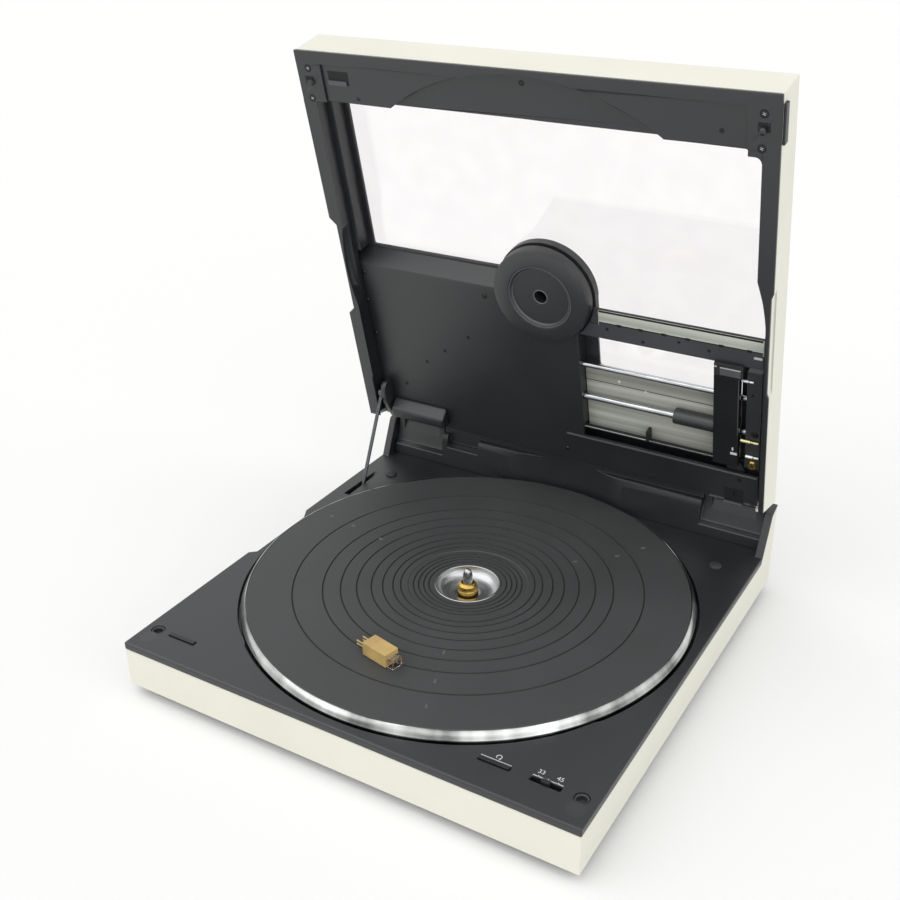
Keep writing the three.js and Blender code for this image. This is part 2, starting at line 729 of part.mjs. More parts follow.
// Rear cover of the deck: a ridge across the middle, and lower pockets where the lid swings.
const coverFace = deckFloorRear;
const coverBack = innerHalfDepth - CLEARANCE;
const coverLedge = coverFace + REAR_RIDGE_LEDGE;
const coverTop = humpZ - CLEARANCE;
const pocketWallTop = pocketSill - CLEARANCE;
const sidePocketTop = deckTop + SIDE_POCKET_FACE_RISE + POCKET_BEVEL_RISE;
const ridgeTop = deckTop + REAR_RIDGE_RISE;
const pocketSide = [
  [coverFace, bandTop],
  [coverBack, bandTop],
  [coverBack, pocketWallTop],
  [coverBack - POCKET_WALL, pocketWallTop],
  [coverFace + POCKET_BACK_RUN, deckTop + POCKET_BACK_RISE],
  [coverFace + POCKET_BEVEL_RUN, deckTop + POCKET_FACE_RISE + POCKET_BEVEL_RISE],
  [coverFace, deckTop + POCKET_FACE_RISE],
];
const sidePocketSide = [
  [coverFace, bandTop],
  [coverBack, bandTop],
  [coverBack, coverTop],
  [coverLedge, coverTop],
  [coverLedge, sidePocketTop],
  [coverFace + POCKET_BEVEL_RUN, sidePocketTop],
  [coverFace, deckTop + SIDE_POCKET_FACE_RISE],
];
const ridgeSide = [
  [coverFace, bandTop],
  [coverBack, bandTop],
  [coverBack, coverTop],
  [coverLedge, coverTop],
  [coverLedge, ridgeTop],
  [slopeY(ridgeTop), ridgeTop],
  [coverFace, deckTop + REAR_RIDGE_FACE_RISE],
];
const hingeCoverHalf = deckPocketHalf - CLEARANCE;
const pinZone = {
  left: [-hingeCoverHalf, -hingePocketInner],
  right: [hingePocketInner, hingeCoverHalf],
};
let hingeCover = joined(
  prismX(pocketSide, -hingeCoverHalf, hingeCoverHalf),
  prismX(ridgeSide, -sidePocketInner, hingePocketInner),
  prismX(ridgeSide, -hingePocketInner, -hingePocketInner + POCKET_RIB),
  prismX(sidePocketSide, OVERRUN - hingePocketInner, OVERRUN - sidePocketInner),
);
for (const [x0, x1] of Object.values(pinZone)) {
  const earLeft = x0 + EAR_MARGIN;
  const earRight = x1 - EAR_MARGIN;
  for (const ear of [[earLeft, earLeft + EAR_WIDTH], [earRight - EAR_WIDTH, earRight]]) {
    hingeCover = joined(
      hingeCover,
      block(...ear, hingeY - knuckleRadius, coverBack, deckTop + POCKET_FACE_RISE, hingeZ),
      barX(hingeY, hingeZ, knuckleRadius, ...ear, SMALL_SIDES),
    );
  }
}
hingeCover = cut(
  hingeCover,
  barX(hingeY, hingeZ, knuckleBore, -halfWidth, halfWidth, SMALL_SIDES),
  barZ(0, 0, WELL_RADIUS, bandTop - OVERRUN, humpZ + OVERRUN, WIDE_SIDES),
  barZ(
    0, 0, innerHalfDepth, bandTop - OVERRUN, bandTop + WELL_LIP_RISE + CLEARANCE, WIDE_SIDES,
  ),
);
piece("hinge_cover", hingeCover, CHARCOAL);
for (const [side, [x0, x1]] of Object.entries(pinZone)) {
  const pin = barX(hingeY, hingeZ, HINGE_PIN_RADIUS, x0 + CLEARANCE, x1 - CLEARANCE, TINY_SIDES);
  piece("hinge_pin_" + side, pin, POLISHED);
}

// Rubber bumpers that the closed lid rests on.
for (const [side, x] of Object.entries(footPlaces)) {
  const dome = BUMPER_HEIGHT / 2;
  const bumper = turned(
    [
      [0, 0], [BUMPER_RADIUS, 0], [BUMPER_RADIUS, BUMPER_HEIGHT - dome],
      [BUMPER_RADIUS - dome, BUMPER_HEIGHT], [0, BUMPER_HEIGHT],
    ],
    SMALL_SIDES,
  );
  piece("deck_bumper_" + side, bumper, RUBBER).position.set(x * bumperX, bumperY, deckTop);
}

// Direct drive motor: a bearing tube and a wound stator on the bottom cover.
const spindleBore = SPINDLE_RADIUS + CLEARANCE;
const seatZ = bottomTop + CLEARANCE;
const bearingTop = seatZ + BEARING_HEIGHT;
piece(
  "bearing_housing",
  turned(
    [
      [0, seatZ], [BEARING_RADIUS, seatZ], [BEARING_RADIUS, bearingTop],
      [spindleBore, bearingTop], [spindleBore, seatZ + BEARING_FLOOR], [0, seatZ + BEARING_FLOOR],
    ],
    SMALL_SIDES,
  ),
  DARK_METAL,
);
const statorTop = bearingTop - CLEARANCE;
const statorCore = STATOR_RADIUS * STATOR_CORE_SHARE;
const statorSide = [
  [BEARING_RADIUS + CLEARANCE, seatZ], [STATOR_RADIUS, seatZ],
  [STATOR_RADIUS, seatZ + BOARD_STANDOFF], [STATOR_RADIUS * STATOR_TOP_SHARE, statorTop],
  [statorCore, statorTop], [statorCore, statorTop - STATOR_HEIGHT],
  [BEARING_RADIUS + CLEARANCE, statorTop - STATOR_HEIGHT],
];
piece("motor_stator", ring(statorSide, ROUND_SIDES), COPPER);

// Platter: a cast disc with a polished rim, a bowl round the hub and a boss under it.
const matTopZ = deckTop + MAT_TOP;
const matBottomZ = matTopZ - MAT_THICKNESS;
const webTop = matBottomZ - CLEARANCE;
const rimFoot = wellFloorTop + PLATTER_FLOAT;
const rimStraight = rimFoot + PLATTER_RIM_STRAIGHT;
const rimTop = rimStraight + PLATTER_RIM_RISE;
const lipRadius = PLATTER_RADIUS - PLATTER_BEVEL - PLATTER_LIP;
const bowlOuter = BOWL_RADIUS + BOWL_RIM;
const bowlFloor = rimTop - BOWL_DEPTH;
const hubSeat = bowlFloor - HUB_SEAT_DEPTH;
const bossFoot = webTop - PLATTER_WEB - BOSS_DEPTH;
piece(
  "platter",
  ring(
    [
      [spindleBore, bossFoot], [BOSS_RADIUS, bossFoot], [BOSS_RADIUS, webTop - PLATTER_WEB],
      [PLATTER_RADIUS - PLATTER_BEVEL * 2, webTop - PLATTER_WEB],
      [PLATTER_RADIUS - PLATTER_BEVEL * 2, rimFoot],
      [PLATTER_RADIUS, rimFoot], [PLATTER_RADIUS, rimStraight],
      [PLATTER_RADIUS - PLATTER_BEVEL, rimTop], [lipRadius, rimTop], [lipRadius, webTop],
      [bowlOuter, webTop], [bowlOuter, rimTop], [BOWL_RADIUS, rimTop],
      [BOWL_HOLE_RADIUS, bowlFloor], [BOWL_HOLE_RADIUS, hubSeat], [spindleBore, hubSeat],
    ],
    WIDE_SIDES,
  ),
  POLISHED,
);

// Mat: a moulded rubber disc with ring grooves and a lower label field.
const matRadius = lipRadius - CLEARANCE;
const matBore = bowlOuter + CLEARANCE;
const grooves = MAT_GROOVE_SHARES.flatMap((share) => {
  const middle = share * matRadius;
  return [
    [middle - MAT_GROOVE_WIDTH / 2, matTopZ],
    [middle, matTopZ - MAT_GROOVE_DEPTH],
    [middle + MAT_GROOVE_WIDTH / 2, matTopZ],
  ];
}).reverse();
piece(
  "platter_mat",
  ring(
    [
      [matBore, matBottomZ], [matRadius, matBottomZ], [matRadius, matTopZ],
      ...grooves,
      [MAT_LABEL_RADIUS, matTopZ], [MAT_LABEL_RADIUS - MAT_LABEL_DROP, matTopZ - MAT_LABEL_DROP],
      [matBore, matTopZ - MAT_LABEL_DROP],
    ],
    WIDE_SIDES,
  ),
  RUBBER,
);

// Spindle with a ball end, the brass hub round it, and the ring magnet under the platter.
const spindleTop = matTopZ + SPINDLE_RISE;
const spindleFoot = seatZ + BEARING_FLOOR + CLEARANCE;
const ballSteps = 4;
const ballEnd = Array.from({ length: ballSteps + 1 }, (_, i) => {
  const turn = (i / ballSteps) * (Math.PI / 2);
  return [SPINDLE_RADIUS * Math.cos(turn), spindleTop - SPINDLE_RADIUS * (1 - Math.sin(turn))];
});
ballEnd[ballSteps][0] = 0;
piece(
  "spindle",
  turned([[0, spindleFoot], [SPINDLE_RADIUS, spindleFoot], ...ballEnd], SMALL_SIDES),
  POLISHED,
);
const hubTop = matTopZ + HUB_RISE;
piece(
  "spindle_hub",
  ring(
    [
      [spindleBore, hubSeat + CLEARANCE], [HUB_RADIUS, hubSeat + CLEARANCE],
      [HUB_RADIUS, hubTop - HUB_CHAMFER], [HUB_RADIUS - HUB_CHAMFER, hubTop],
      [spindleBore, hubTop],
    ],
    SMALL_SIDES,
  ),
  BRASS,
);
const rotorTop = webTop - PLATTER_WEB - CLEARANCE;
piece(
  "rotor_magnet",
  ring(
    [
      [ROTOR_BORE, rotorTop - ROTOR_HEIGHT], [ROTOR_RADIUS, rotorTop - ROTOR_HEIGHT],
      [ROTOR_RADIUS, rotorTop], [ROTOR_BORE, rotorTop],
    ],
    ROUND_SIDES,
  ),
  MAGNET,
);

// Mains transformer: a plain core block with its coil standing out of both sides.
const transformerHalf = TRANSFORMER_WIDTH / 2;
const transformerDeep = TRANSFORMER_DEPTH / 2;
const coilHalf = TRANSFORMER_COIL_WIDTH / 2;
piece(
  "power_transformer",
  joined(
    block(
      transformerX - transformerHalf, transformerX + transformerHalf,
      transformerY - transformerDeep, transformerY + transformerDeep,
      seatZ, seatZ + TRANSFORMER_HEIGHT,
    ),
    block(
      transformerX - coilHalf, transformerX + coilHalf,
      transformerY - transformerDeep - TRANSFORMER_COIL_PROUD,
      transformerY + transformerDeep + TRANSFORMER_COIL_PROUD,
      seatZ + BOARD_STANDOFF, seatZ + TRANSFORMER_HEIGHT - BOARD_STANDOFF,
    ),
  ),
  DARK_METAL,
);

// Main circuit board, on two rails of its own along the bottom cover.
const mainHalf = MAIN_BOARD_WIDTH / 2;
const mainDeep = MAIN_BOARD_DEPTH / 2;
let mainBoard = block(
  mainBoardX - mainHalf, mainBoardX + mainHalf, -mainDeep, mainDeep,
  seatZ + BOARD_STANDOFF, seatZ + BOARD_STANDOFF + BOARD_THICKNESS,
);
for (const y of [-mainDeep, mainDeep - BOARD_STANDOFF]) {
  mainBoard = joined(
    mainBoard,
    block(
      mainBoardX - mainHalf, mainBoardX + mainHalf, y, y + BOARD_STANDOFF,
      seatZ, seatZ + BOARD_STANDOFF,
    ),
  );
}
piece("main_circuit_board", mainBoard, BOARD_GREEN);

// Mains inlet: a deep cup open to the rear, with two pins standing from its floor.
const inletLeft = inletX - INLET_WIDTH / 2;
const inletRight = inletX + INLET_WIDTH / 2;
const inletFloor = halfDepth - INLET_DEPTH + INLET_WALL;
const inletMiddle = inletBottom + INLET_HEIGHT / 2;
let inlet = cut(
  block(
    inletLeft, inletRight, halfDepth - INLET_DEPTH, halfDepth,
    inletBottom, inletBottom + INLET_HEIGHT,
  ),
  block(
    inletLeft + INLET_WALL, inletRight - INLET_WALL, inletFloor, halfDepth + OVERRUN,
    inletBottom + INLET_WALL, inletBottom + INLET_HEIGHT - INLET_WALL,
  ),
);
for (const side of [-1, 1]) {
  const x = inletX + (side * INLET_PIN_SPACING) / 2;
  inlet = joined(
    inlet,
    block(
      x - INLET_PIN / 2, x + INLET_PIN / 2, inletFloor - OVERRUN, inletFloor + INLET_PIN_LENGTH,
      inletMiddle - INLET_PIN / 2, inletMiddle + INLET_PIN / 2,
    ),
  );
}
piece("mains_inlet", inlet, CHARCOAL);

// Signal sockets: a plate in the rear wall with two bored phono collars sunk in it.
const socketLeft = socketX - SOCKET_PLATE_WIDTH / 2;
const socketMiddle = inletBottom + SOCKET_PLATE_HEIGHT / 2;
let sockets = block(
  socketLeft, socketLeft + SOCKET_PLATE_WIDTH, halfDepth - SOCKET_PLATE_DEPTH, halfDepth,
  inletBottom, inletBottom + SOCKET_PLATE_HEIGHT,
);
for (const side of [-1, 1]) {
  const collar = new THREE.Matrix4().makeRotationX(-Math.PI / 2).setPosition(
    socketX + (side * SOCKET_SPACING) / 2, halfDepth, socketMiddle,
  );
  const recess = new THREE.LatheGeometry(
    [
      [SOCKET_RADIUS, OVERRUN], [SOCKET_RADIUS, -SOCKET_PLATE_DEPTH / 2],
      [SOCKET_RADIUS - SOCKET_BORE / 2, -SOCKET_PLATE_DEPTH / 2],
      [SOCKET_RADIUS - SOCKET_BORE / 2, OVERRUN], [SOCKET_RADIUS, OVERRUN],
    ].map(([r, y]) => new THREE.Vector2(r, y)).reverse(),
    SMALL_SIDES,
  ).rotateX(Math.PI / 2);
  sockets = cut(sockets, solidOf(recess.applyMatrix4(collar)));
}
piece("signal_sockets", sockets, CHARCOAL);

// Sprung buttons in the deck, each with a shoulder under the plate, over a switch.
const buttonTop = deckTop + BUTTON_PROUD;
const shoulderTop = bandTop - BUTTON_STROKE;
function deckButton(centre, half) {
  return joined(
    block(
      centre - half, centre + half, controlLine - buttonHalf, controlLine + buttonHalf,
      shoulderTop, buttonTop,
    ),
    block(
      centre - half - BUTTON_SHOULDER, centre + half + BUTTON_SHOULDER,
      controlLine - buttonHalf - BUTTON_SHOULDER, controlLine + buttonHalf + BUTTON_SHOULDER,
      shoulderTop - BUTTON_FLANGE, shoulderTop,
    ),
  );
}
piece("power_button", deckButton(powerCentre, powerHalf), CHARCOAL);
piece("repeat_button", deckButton(repeatCentre, repeatHalf), CHARCOAL);
piece(
  "speed_selector",
  joined(
    block(
      selectorCentre - SELECTOR_KNOB / 2, selectorCentre + SELECTOR_KNOB / 2,
      controlLine - buttonHalf, controlLine + buttonHalf,
      bandTop - CLEARANCE - BUTTON_FLANGE, deckTop + SELECTOR_PROUD,
    ),
    block(
      selectorCentre - SELECTOR_FOOT / 2, selectorCentre + SELECTOR_FOOT / 2,
      controlLine - buttonHalf - BUTTON_SHOULDER, controlLine + buttonHalf + BUTTON_SHOULDER,
      bandTop - CLEARANCE - BUTTON_FLANGE, bandTop - CLEARANCE,
    ),
  ),
  CHARCOAL,
);
const switchTop = shoulderTop - BUTTON_FLANGE - BUTTON_STROKE - CLEARANCE;
const boardTop = switchTop - SWITCH_HEIGHT;
const controlFront = controlLine - CONTROL_BOARD_DEPTH / 2;
const controlBack = controlFront + CONTROL_BOARD_DEPTH;
let controlBoard = block(
  -controlBoardHalf, controlBoardHalf, controlFront, controlBack,
  boardTop - BOARD_THICKNESS, boardTop,
);
const switches = [
  [powerCentre, powerHalf], [repeatCentre, repeatHalf], [selectorCentre, SELECTOR_SLOT / 2],
];
for (const [centre, half] of switches) {
  controlBoard = joined(
    controlBoard,
    block(
      centre - half, centre + half,
      controlLine - SWITCH_DEPTH / 2, controlLine + SWITCH_DEPTH / 2,
      boardTop - BOARD_THICKNESS, switchTop,
    ),
  );
}
for (const left of [-controlBoardHalf, controlBoardHalf - BOARD_STANDOFF]) {
  controlBoard = joined(
    controlBoard,
    block(left, left + BOARD_STANDOFF, controlFront, controlBack, seatZ, boardTop),
  );
}
piece("control_switch_board", controlBoard, BOARD_GREEN);

// Guide of the lid strut: a long frame standing on the bottom cover under the deck's slot.
const guideHalf = STRUT_SLOT_HALF + GUIDE_WALL;
const guideTop = wellFloorBottom - CLEARANCE;
piece(
  "strut_guide",
  cut(
    block(strutX - guideHalf, strutX + guideHalf, GUIDE_FRONT, GUIDE_REAR, seatZ, guideTop),
    block(
      strutX - STRUT_SLOT_HALF, strutX + STRUT_SLOT_HALF,
      GUIDE_FRONT + GUIDE_WALL, GUIDE_REAR - GUIDE_WALL, seatZ - OVERRUN, guideTop + OVERRUN,
    ),
  ),
  DARK_METAL,
);

// Loose cartridge on the mat: a body with four contact pins, and its clear stylus guard.
const cartridge = new THREE.Group();
cartridge.position.set(CARTRIDGE_X, CARTRIDGE_Y, matTopZ + CLEARANCE);
cartridge.rotation.z = THREE.MathUtils.degToRad(CARTRIDGE_TURN);
turntable.add(cartridge);
const cartridgeHalf = CARTRIDGE_LENGTH / 2;
const cartridgeDeep = CARTRIDGE_WIDTH / 2;
let cartridgeBody = block(
  -cartridgeHalf, cartridgeHalf, -cartridgeDeep, cartridgeDeep, 0, CARTRIDGE_HEIGHT,
);
for (const across of [-1, 1]) {
  for (const z of [CARTRIDGE_PIN_SPACING, 2 * CARTRIDGE_PIN_SPACING]) {
    const y = across * CARTRIDGE_PIN_SPACING;
    cartridgeBody = joined(
      cartridgeBody,
      block(
        -cartridgeHalf - CARTRIDGE_PIN_LENGTH, OVERRUN - cartridgeHalf,
        y - CARTRIDGE_PIN / 2, y + CARTRIDGE_PIN / 2, z - CARTRIDGE_PIN / 2, z + CARTRIDGE_PIN / 2,
      ),
    );
  }
}
piece("cartridge", cartridgeBody, CARTRIDGE_GOLD, cartridge);
const guardStart = cartridgeHalf + CLEARANCE;
piece(
  "stylus_guard",
  cut(
    block(guardStart, guardStart + GUARD_LENGTH, -GUARD_WIDTH / 2, GUARD_WIDTH / 2, 0, GUARD_HEIGHT),
    block(
      guardStart - OVERRUN, guardStart + GUARD_LENGTH - GUARD_WALL,
      GUARD_WALL - GUARD_WIDTH / 2, GUARD_WIDTH / 2 - GUARD_WALL,
      -OVERRUN, GUARD_HEIGHT - GUARD_WALL,
    ),
  ),
  CLEAR,
  cartridge,
);

// The lid is modelled closed and hung on the hinge axis, turned open.
const lidPivot = new THREE.Group();
lidPivot.position.set(0, hingeY, hingeZ);
lidPivot.rotation.x = -openTurn;
turntable.add(lidPivot);
const lid = new THREE.Group();
lid.position.set(0, -hingeY, -hingeZ);
lidPivot.add(lid);

// Lid shell: painted walls and top with the window opening, and a slanted rear end.
const lidFront = lidLength;
const shellFoot = RIM_THICKNESS + CLEARANCE;
const shellUnder = LID_HEIGHT - LID_WALL;
const endWall = (LID_WALL * Math.hypot(END_RUN, LID_HEIGHT)) / LID_HEIGHT;
const panelUnder = PANEL_DEPTH + PANEL_THICKNESS;
const windowOutline = [
  [-windowLeft, windowNear], [-windowLeft, windowFar], [windowRight, windowFar],
  [windowRight, WINDOW_NOTCH_NEAR], [WINDOW_NOTCH_LEFT, WINDOW_NOTCH_NEAR],
  [WINDOW_NOTCH_LEFT, windowNear],
];
function grownWindow(by) {
  return windowOutline.map(([x, u], i) => {
    const left = i < 2 || i > 3;
    const far = i === 1 || i === 2;
    return [x + (left ? -by : by), u + (far ? by : -by)];
  });
}
const keyXs = [-1, 0, 1].map((step) => step * (KEY_WIDTH + KEY_GAP));
const keyHalf = KEY_WIDTH / 2;
let shell = cut(
  lidPrism(
    [
      [lidFront, shellFoot], [lidFront, LID_HEIGHT],
      [endPlace(LID_HEIGHT), LID_HEIGHT], [endPlace(shellFoot), shellFoot],
    ],
    -halfWidth, halfWidth,
  ),
  lidPrism(
    [
      [lidFront - LID_WALL, shellFoot - OVERRUN], [lidFront - LID_WALL, shellUnder],
      [endPlace(shellUnder) + endWall, shellUnder],
      [endPlace(shellFoot - OVERRUN) + endWall, shellFoot - OVERRUN],
    ],
    LID_WALL - halfWidth, halfWidth - LID_WALL,
  ),
  lidBlock(
    -deckPocketHalf, deckPocketHalf, endPlace(LID_HEIGHT), LID_WALL,
    shellFoot - OVERRUN, panelUnder + CLEARANCE,
  ),
  lidPlate(grownWindow(WINDOW_LAP + CLEARANCE), shellUnder - OVERRUN, LID_HEIGHT + OVERRUN),
);
for (const x of keyXs) {
  shell = cut(
    shell,
    lidBlock(
      x - keyHalf - CLEARANCE, x + keyHalf + CLEARANCE,
      keyPlace - KEY_DEPTH / 2 - CLEARANCE, keyPlace + KEY_DEPTH / 2 + CLEARANCE,
      shellUnder - OVERRUN, LID_HEIGHT + OVERRUN,
    ),
  );
}
function lidNotch(side) {
  const run = side < 0 ? LID_NOTCH_LEFT_RUN : LID_NOTCH_RIGHT_RUN;
  const outline = fingerNotch(
    side, run, lidNotchNear, lidNotchFar, LID_NOTCH_RAMP, LID_NOTCH_RAMP,
  );
  return lidPlate(outline, -OVERRUN, LID_NOTCH_DEPTH);
}
const catchOuter = halfWidth + CATCH_PROUD;
const catchInner = catchOuter - CATCH_THICKNESS;
const catchSlotFoot = CATCH_DEPTH - CLEARANCE;
const catchSlotTop = CATCH_DEPTH + CATCH_HEIGHT + CLEARANCE;
function catchSlot(side) {
  const inner = side * (catchInner - CATCH_STROKE - CLEARANCE);
  const outer = side * (halfWidth + OVERRUN);
  return lidBlock(
    Math.min(inner, outer), Math.max(inner, outer),
    catchNear - CLEARANCE, catchFar + CLEARANCE, catchSlotFoot, catchSlotTop,
  );
}
shell = cut(shell, lidNotch(-1), lidNotch(1), catchSlot(-1), catchSlot(1));
piece("lid_shell", shell, CREAM, lid);
piece(
  "lid_window",
  lidPlate(grownWindow(WINDOW_LAP), LID_HEIGHT - WINDOW_THICKNESS, LID_HEIGHT),
  CLEAR,
  lid,
);

// Inner frame of the lid: a thin rim, ledges inside the walls, the front bar, and a web with
// the window's opening under the top.
const lidWebTop = LID_HEIGHT - WINDOW_THICKNESS - CLEARANCE;
const lidWebFoot = lidWebTop - WEB_THICKNESS;
const frameHalf = halfWidth - LID_WALL - CLEARANCE;
const frameFront = lidFront - LID_WALL - CLEARANCE;
const ledgeNear = endWall + CLEARANCE;
const ledgeEdge = halfWidth - RIM_WIDTH;
const ledgeTop = PANEL_DEPTH - CLEARANCE;
const rightLedge = windowRight + SIDE_STEP_RIGHT;
const barNear = lidFront - FRONT_BAR_WIDTH;
const barLap = barNear + OVERRUN;
const recordArcDepth = deckTop + MAT_TOP + RECORD_THICKNESS + CLEARANCE - rimZ;
const frontBarTop = recordArcDepth + BAR_ARC_WALL;
let innerFrame = joined(
  lidBlock(-halfWidth, -ledgeEdge, 0, barLap, 0, RIM_THICKNESS),
  lidBlock(ledgeEdge, halfWidth, 0, barLap, 0, RIM_THICKNESS),
  lidBlock(-halfWidth, halfWidth, barNear, lidFront, 0, RIM_THICKNESS),
  lidBlock(-frameHalf, frameHalf, barNear, frameFront, 0, frontBarTop),
  lidBlock(-frameHalf, frameHalf, barNear, barNear + LID_WALL, 0, lidWebTop),
  lidBlock(-frameHalf, -ledgeEdge, ledgeNear, barLap, 0, ledgeTop),
  lidBlock(-frameHalf, -panelLeft - CLEARANCE, ledgeNear, windowNear + OVERRUN, 0, lidWebTop),
  lidBlock(
    -frameHalf, -windowLeft - SIDE_STEP_LEFT, windowNear + CLEARANCE, barLap,
    ledgeTop - OVERRUN, lidWebTop,
  ),
  lidBlock(rightLedge, frameHalf, ledgeNear, barLap, 0, lidWebTop),
  lidBlock(
    -frameHalf, frameHalf, endPlace(lidWebFoot) + endWall + CLEARANCE, barLap,
    lidWebFoot, lidWebTop,
  ),
);
function discHollow(radius, depth) {
  return barZ(0, 0, radius, lidZ(-OVERRUN), lidZ(depth), WIDE_SIDES);
}
innerFrame = cut(
  innerFrame,
  lidPlate(windowOutline, lidWebFoot - OVERRUN, lidWebTop + OVERRUN),
  lidBlock(
    -barRecessHalf, barRecessHalf, barNear - OVERRUN, lidFront - BAR_RIM,
    -OVERRUN, BAR_RECESS_DEPTH,
  ),
  discHollow(recordArcRadius, recordArcDepth).intersect(
    lidBlock(
      -recordArcRadius, recordArcRadius, barNear - OVERRUN, lidFront, -OVERRUN, recordArcDepth,
    ),
  ),
  discHollow(recordArcRadius, PANEL_DEPTH).intersect(
    lidBlock(0, recordArcRadius, 0, barNear, -OVERRUN, PANEL_DEPTH),
  ),
  lidBlock(0, recordArcRadius, -OVERRUN, axisPlace, -OVERRUN, PANEL_DEPTH),
  discHollow(PLATTER_RADIUS + RIM_PLATTER_GAP, recordArcDepth),
  lidBlock(
    strutX - RIM_SLOT_HALF, strutX + RIM_SLOT_HALF, -OVERRUN, RIM_SLOT_FAR,
    -OVERRUN, RIM_SLOT_DEPTH,
  ),
);
for (const side of [-1, 1]) {
  const guidePin = barZ(
    side * cornerHoleX, cornerHoleY, CATCH_PIN_RADIUS,
    lidZ(-CATCH_PIN_LENGTH), lidZ(OVERRUN), TINY_SIDES,
  );
  innerFrame = joined(cut(innerFrame, lidNotch(side), catchSlot(side)), guidePin);
}
piece("lid_inner_frame", innerFrame, CHARCOAL, lid);

// Panel over the arm drive: a moulded plate with a ridge, a bite for the clamp and the block
// that holds the left ends of the guide rods.
const panelTop = lidWebFoot - CLEARANCE;
const panelEnd = rightLedge - CLEARANCE;
const slopeFar = panelFar + PANEL_LEDGE_RUN;
const slopeInner = slopeFar - PANEL_SLOPE_INSET;
const slopeFoot =
  panelFar - PANEL_SLOPE_INSET + (PANEL_LEDGE_RUN * PANEL_THICKNESS) / (panelTop - PANEL_DEPTH);
const bite = HOUSING_RADIUS + CLEARANCE;
const clampBite = barZ(0, 0, bite, lidZ(PANEL_DEPTH - OVERRUN), lidZ(LID_HEIGHT), ROUND_SIDES);
const beltFar = BELT_MIDDLE + BELT_HALF;
const blockTop = bridgeNear - CLEARANCE;
const rodSeatLeft = PANEL_RIGHT - ROD_SEAT;
const rodSeatRight = endBlockLeft + ROD_SEAT;
const rods = {
  upper: [UPPER_ROD_PLACE, UPPER_ROD_RADIUS],
  lower: [LOWER_ROD_PLACE, LOWER_ROD_RADIUS],
};
function rodBore(place, radius, x0, x1) {
  return lidRod(place, ROD_DEPTH, radius + CLEARANCE, x0, x1, TINY_SIDES);
}
function withRodBores(solid, x0, x1) {
  return cut(solid, ...Object.values(rods).map(([place, radius]) => rodBore(place, radius, x0, x1)));
}
const panel = cut(
  joined(
    lidPrism(
      [
        [endPlace(PANEL_DEPTH), PANEL_DEPTH], [panelFar, PANEL_DEPTH], [slopeFar, panelTop],
        [slopeInner, panelTop], [slopeFoot, panelUnder], [endPlace(panelUnder), panelUnder],
      ],
      -panelLeft, PANEL_RIGHT,
    ),
    lidPrism(
      [
        [endPlace(PANEL_DEPTH), PANEL_DEPTH], [RECESS_NEAR, PANEL_DEPTH],
        [RECESS_NEAR, panelUnder], [endPlace(panelUnder), panelUnder],
      ],
      PANEL_RIGHT - OVERRUN, panelEnd,
    ),
    lidBlock(
      RIDGE_LEFT, panelEnd, RECESS_NEAR - RIDGE_WIDTH, RECESS_NEAR,
      PANEL_DEPTH - RIDGE_HEIGHT, panelUnder,
    ),
    lidBlock(
      PANEL_RIGHT - ROD_BLOCK_WIDTH, PANEL_RIGHT, beltFar + CLEARANCE, blockTop,
      PANEL_DEPTH, panelTop,
    ),
  ),
  clampBite,
);
piece("arm_panel", withRodBores(panel, rodSeatLeft, PANEL_RIGHT + OVERRUN), CHARCOAL, lid);
piece(
  "cable_cover",
  lidPrism(
    [
      [-CABLE_COVER_END, ledgeTop], [0, ledgeTop - CABLE_COVER_HEIGHT],
      [CABLE_COVER_TOP, ledgeTop - CABLE_COVER_HEIGHT], [CABLE_COVER_FOOT, ledgeTop],
    ],
    -cableCoverLeft, -cableCoverRight,
  ),
  CHARCOAL,
  lid,
);

// Bracket of the lid strut under the panel, with its pin.
const earLeftX = strutX + STRUT_RADIUS + CLEARANCE;
piece(
  "strut_bracket",
  joined(
    lidPrism(
      [
        [STRUT_PLACE - STRUT_EAR_FOOT, ledgeTop], [STRUT_PLACE - STRUT_EAR_RADIUS, STRUT_DEPTH],
        [STRUT_PLACE + STRUT_EAR_RADIUS, STRUT_DEPTH], [STRUT_PLACE + STRUT_EAR_FOOT, ledgeTop],
      ],
      earLeftX, earLeftX + STRUT_EAR_WIDTH,
    ),
    lidRod(
      STRUT_PLACE, STRUT_DEPTH, STRUT_EAR_RADIUS, earLeftX, earLeftX + STRUT_EAR_WIDTH, SMALL_SIDES,
    ),
    lidRod(
      STRUT_PLACE, STRUT_DEPTH, STRUT_PIN_RADIUS,
      strutX - STRUT_RADIUS - STRUT_PIN_RADIUS, earLeftX + OVERRUN, TINY_SIDES,
    ),
  ),
  DARK_METAL,
  lid,
);

// Record clamp: a housing under the lid's top, a sprung hollow spindle and a dished disc on it.
const clampSeat = CLAMP_FACE_DEPTH + CLAMP_DISH_DEPTH + CLAMP_FLOOR;
const clampBack = CLAMP_FACE_DEPTH + CLAMP_THICKNESS;
const housingFoot = clampBack + HOUSING_GAP;
const shaftBoreTop = panelTop - HOUSING_ROOF;
const shaftBore = CLAMP_SHAFT_RADIUS + CLEARANCE;
function lidLevels(points) {
  return points.map(([r, n]) => [r, lidZ(n)]);
}
piece(
  "clamp_housing",
  joined(
    turned(
      lidLevels([
        [0, shaftBoreTop], [shaftBore, shaftBoreTop], [shaftBore, housingFoot],
        [HOUSING_RADIUS, housingFoot], [HOUSING_RADIUS, panelTop], [0, panelTop],
      ]),
      ROUND_SIDES,
    ),
    lidBlock(HOUSING_BRACKET_LEFT, HOUSING_RADIUS, bridgeNear, axisPlace, housingFoot, panelTop),
  ),
  CHARCOAL,
  lid,
);
const shaftFoot = clampSeat + CLEARANCE;
const shaftTop = shaftBoreTop - CLAMP_STROKE - CLEARANCE;
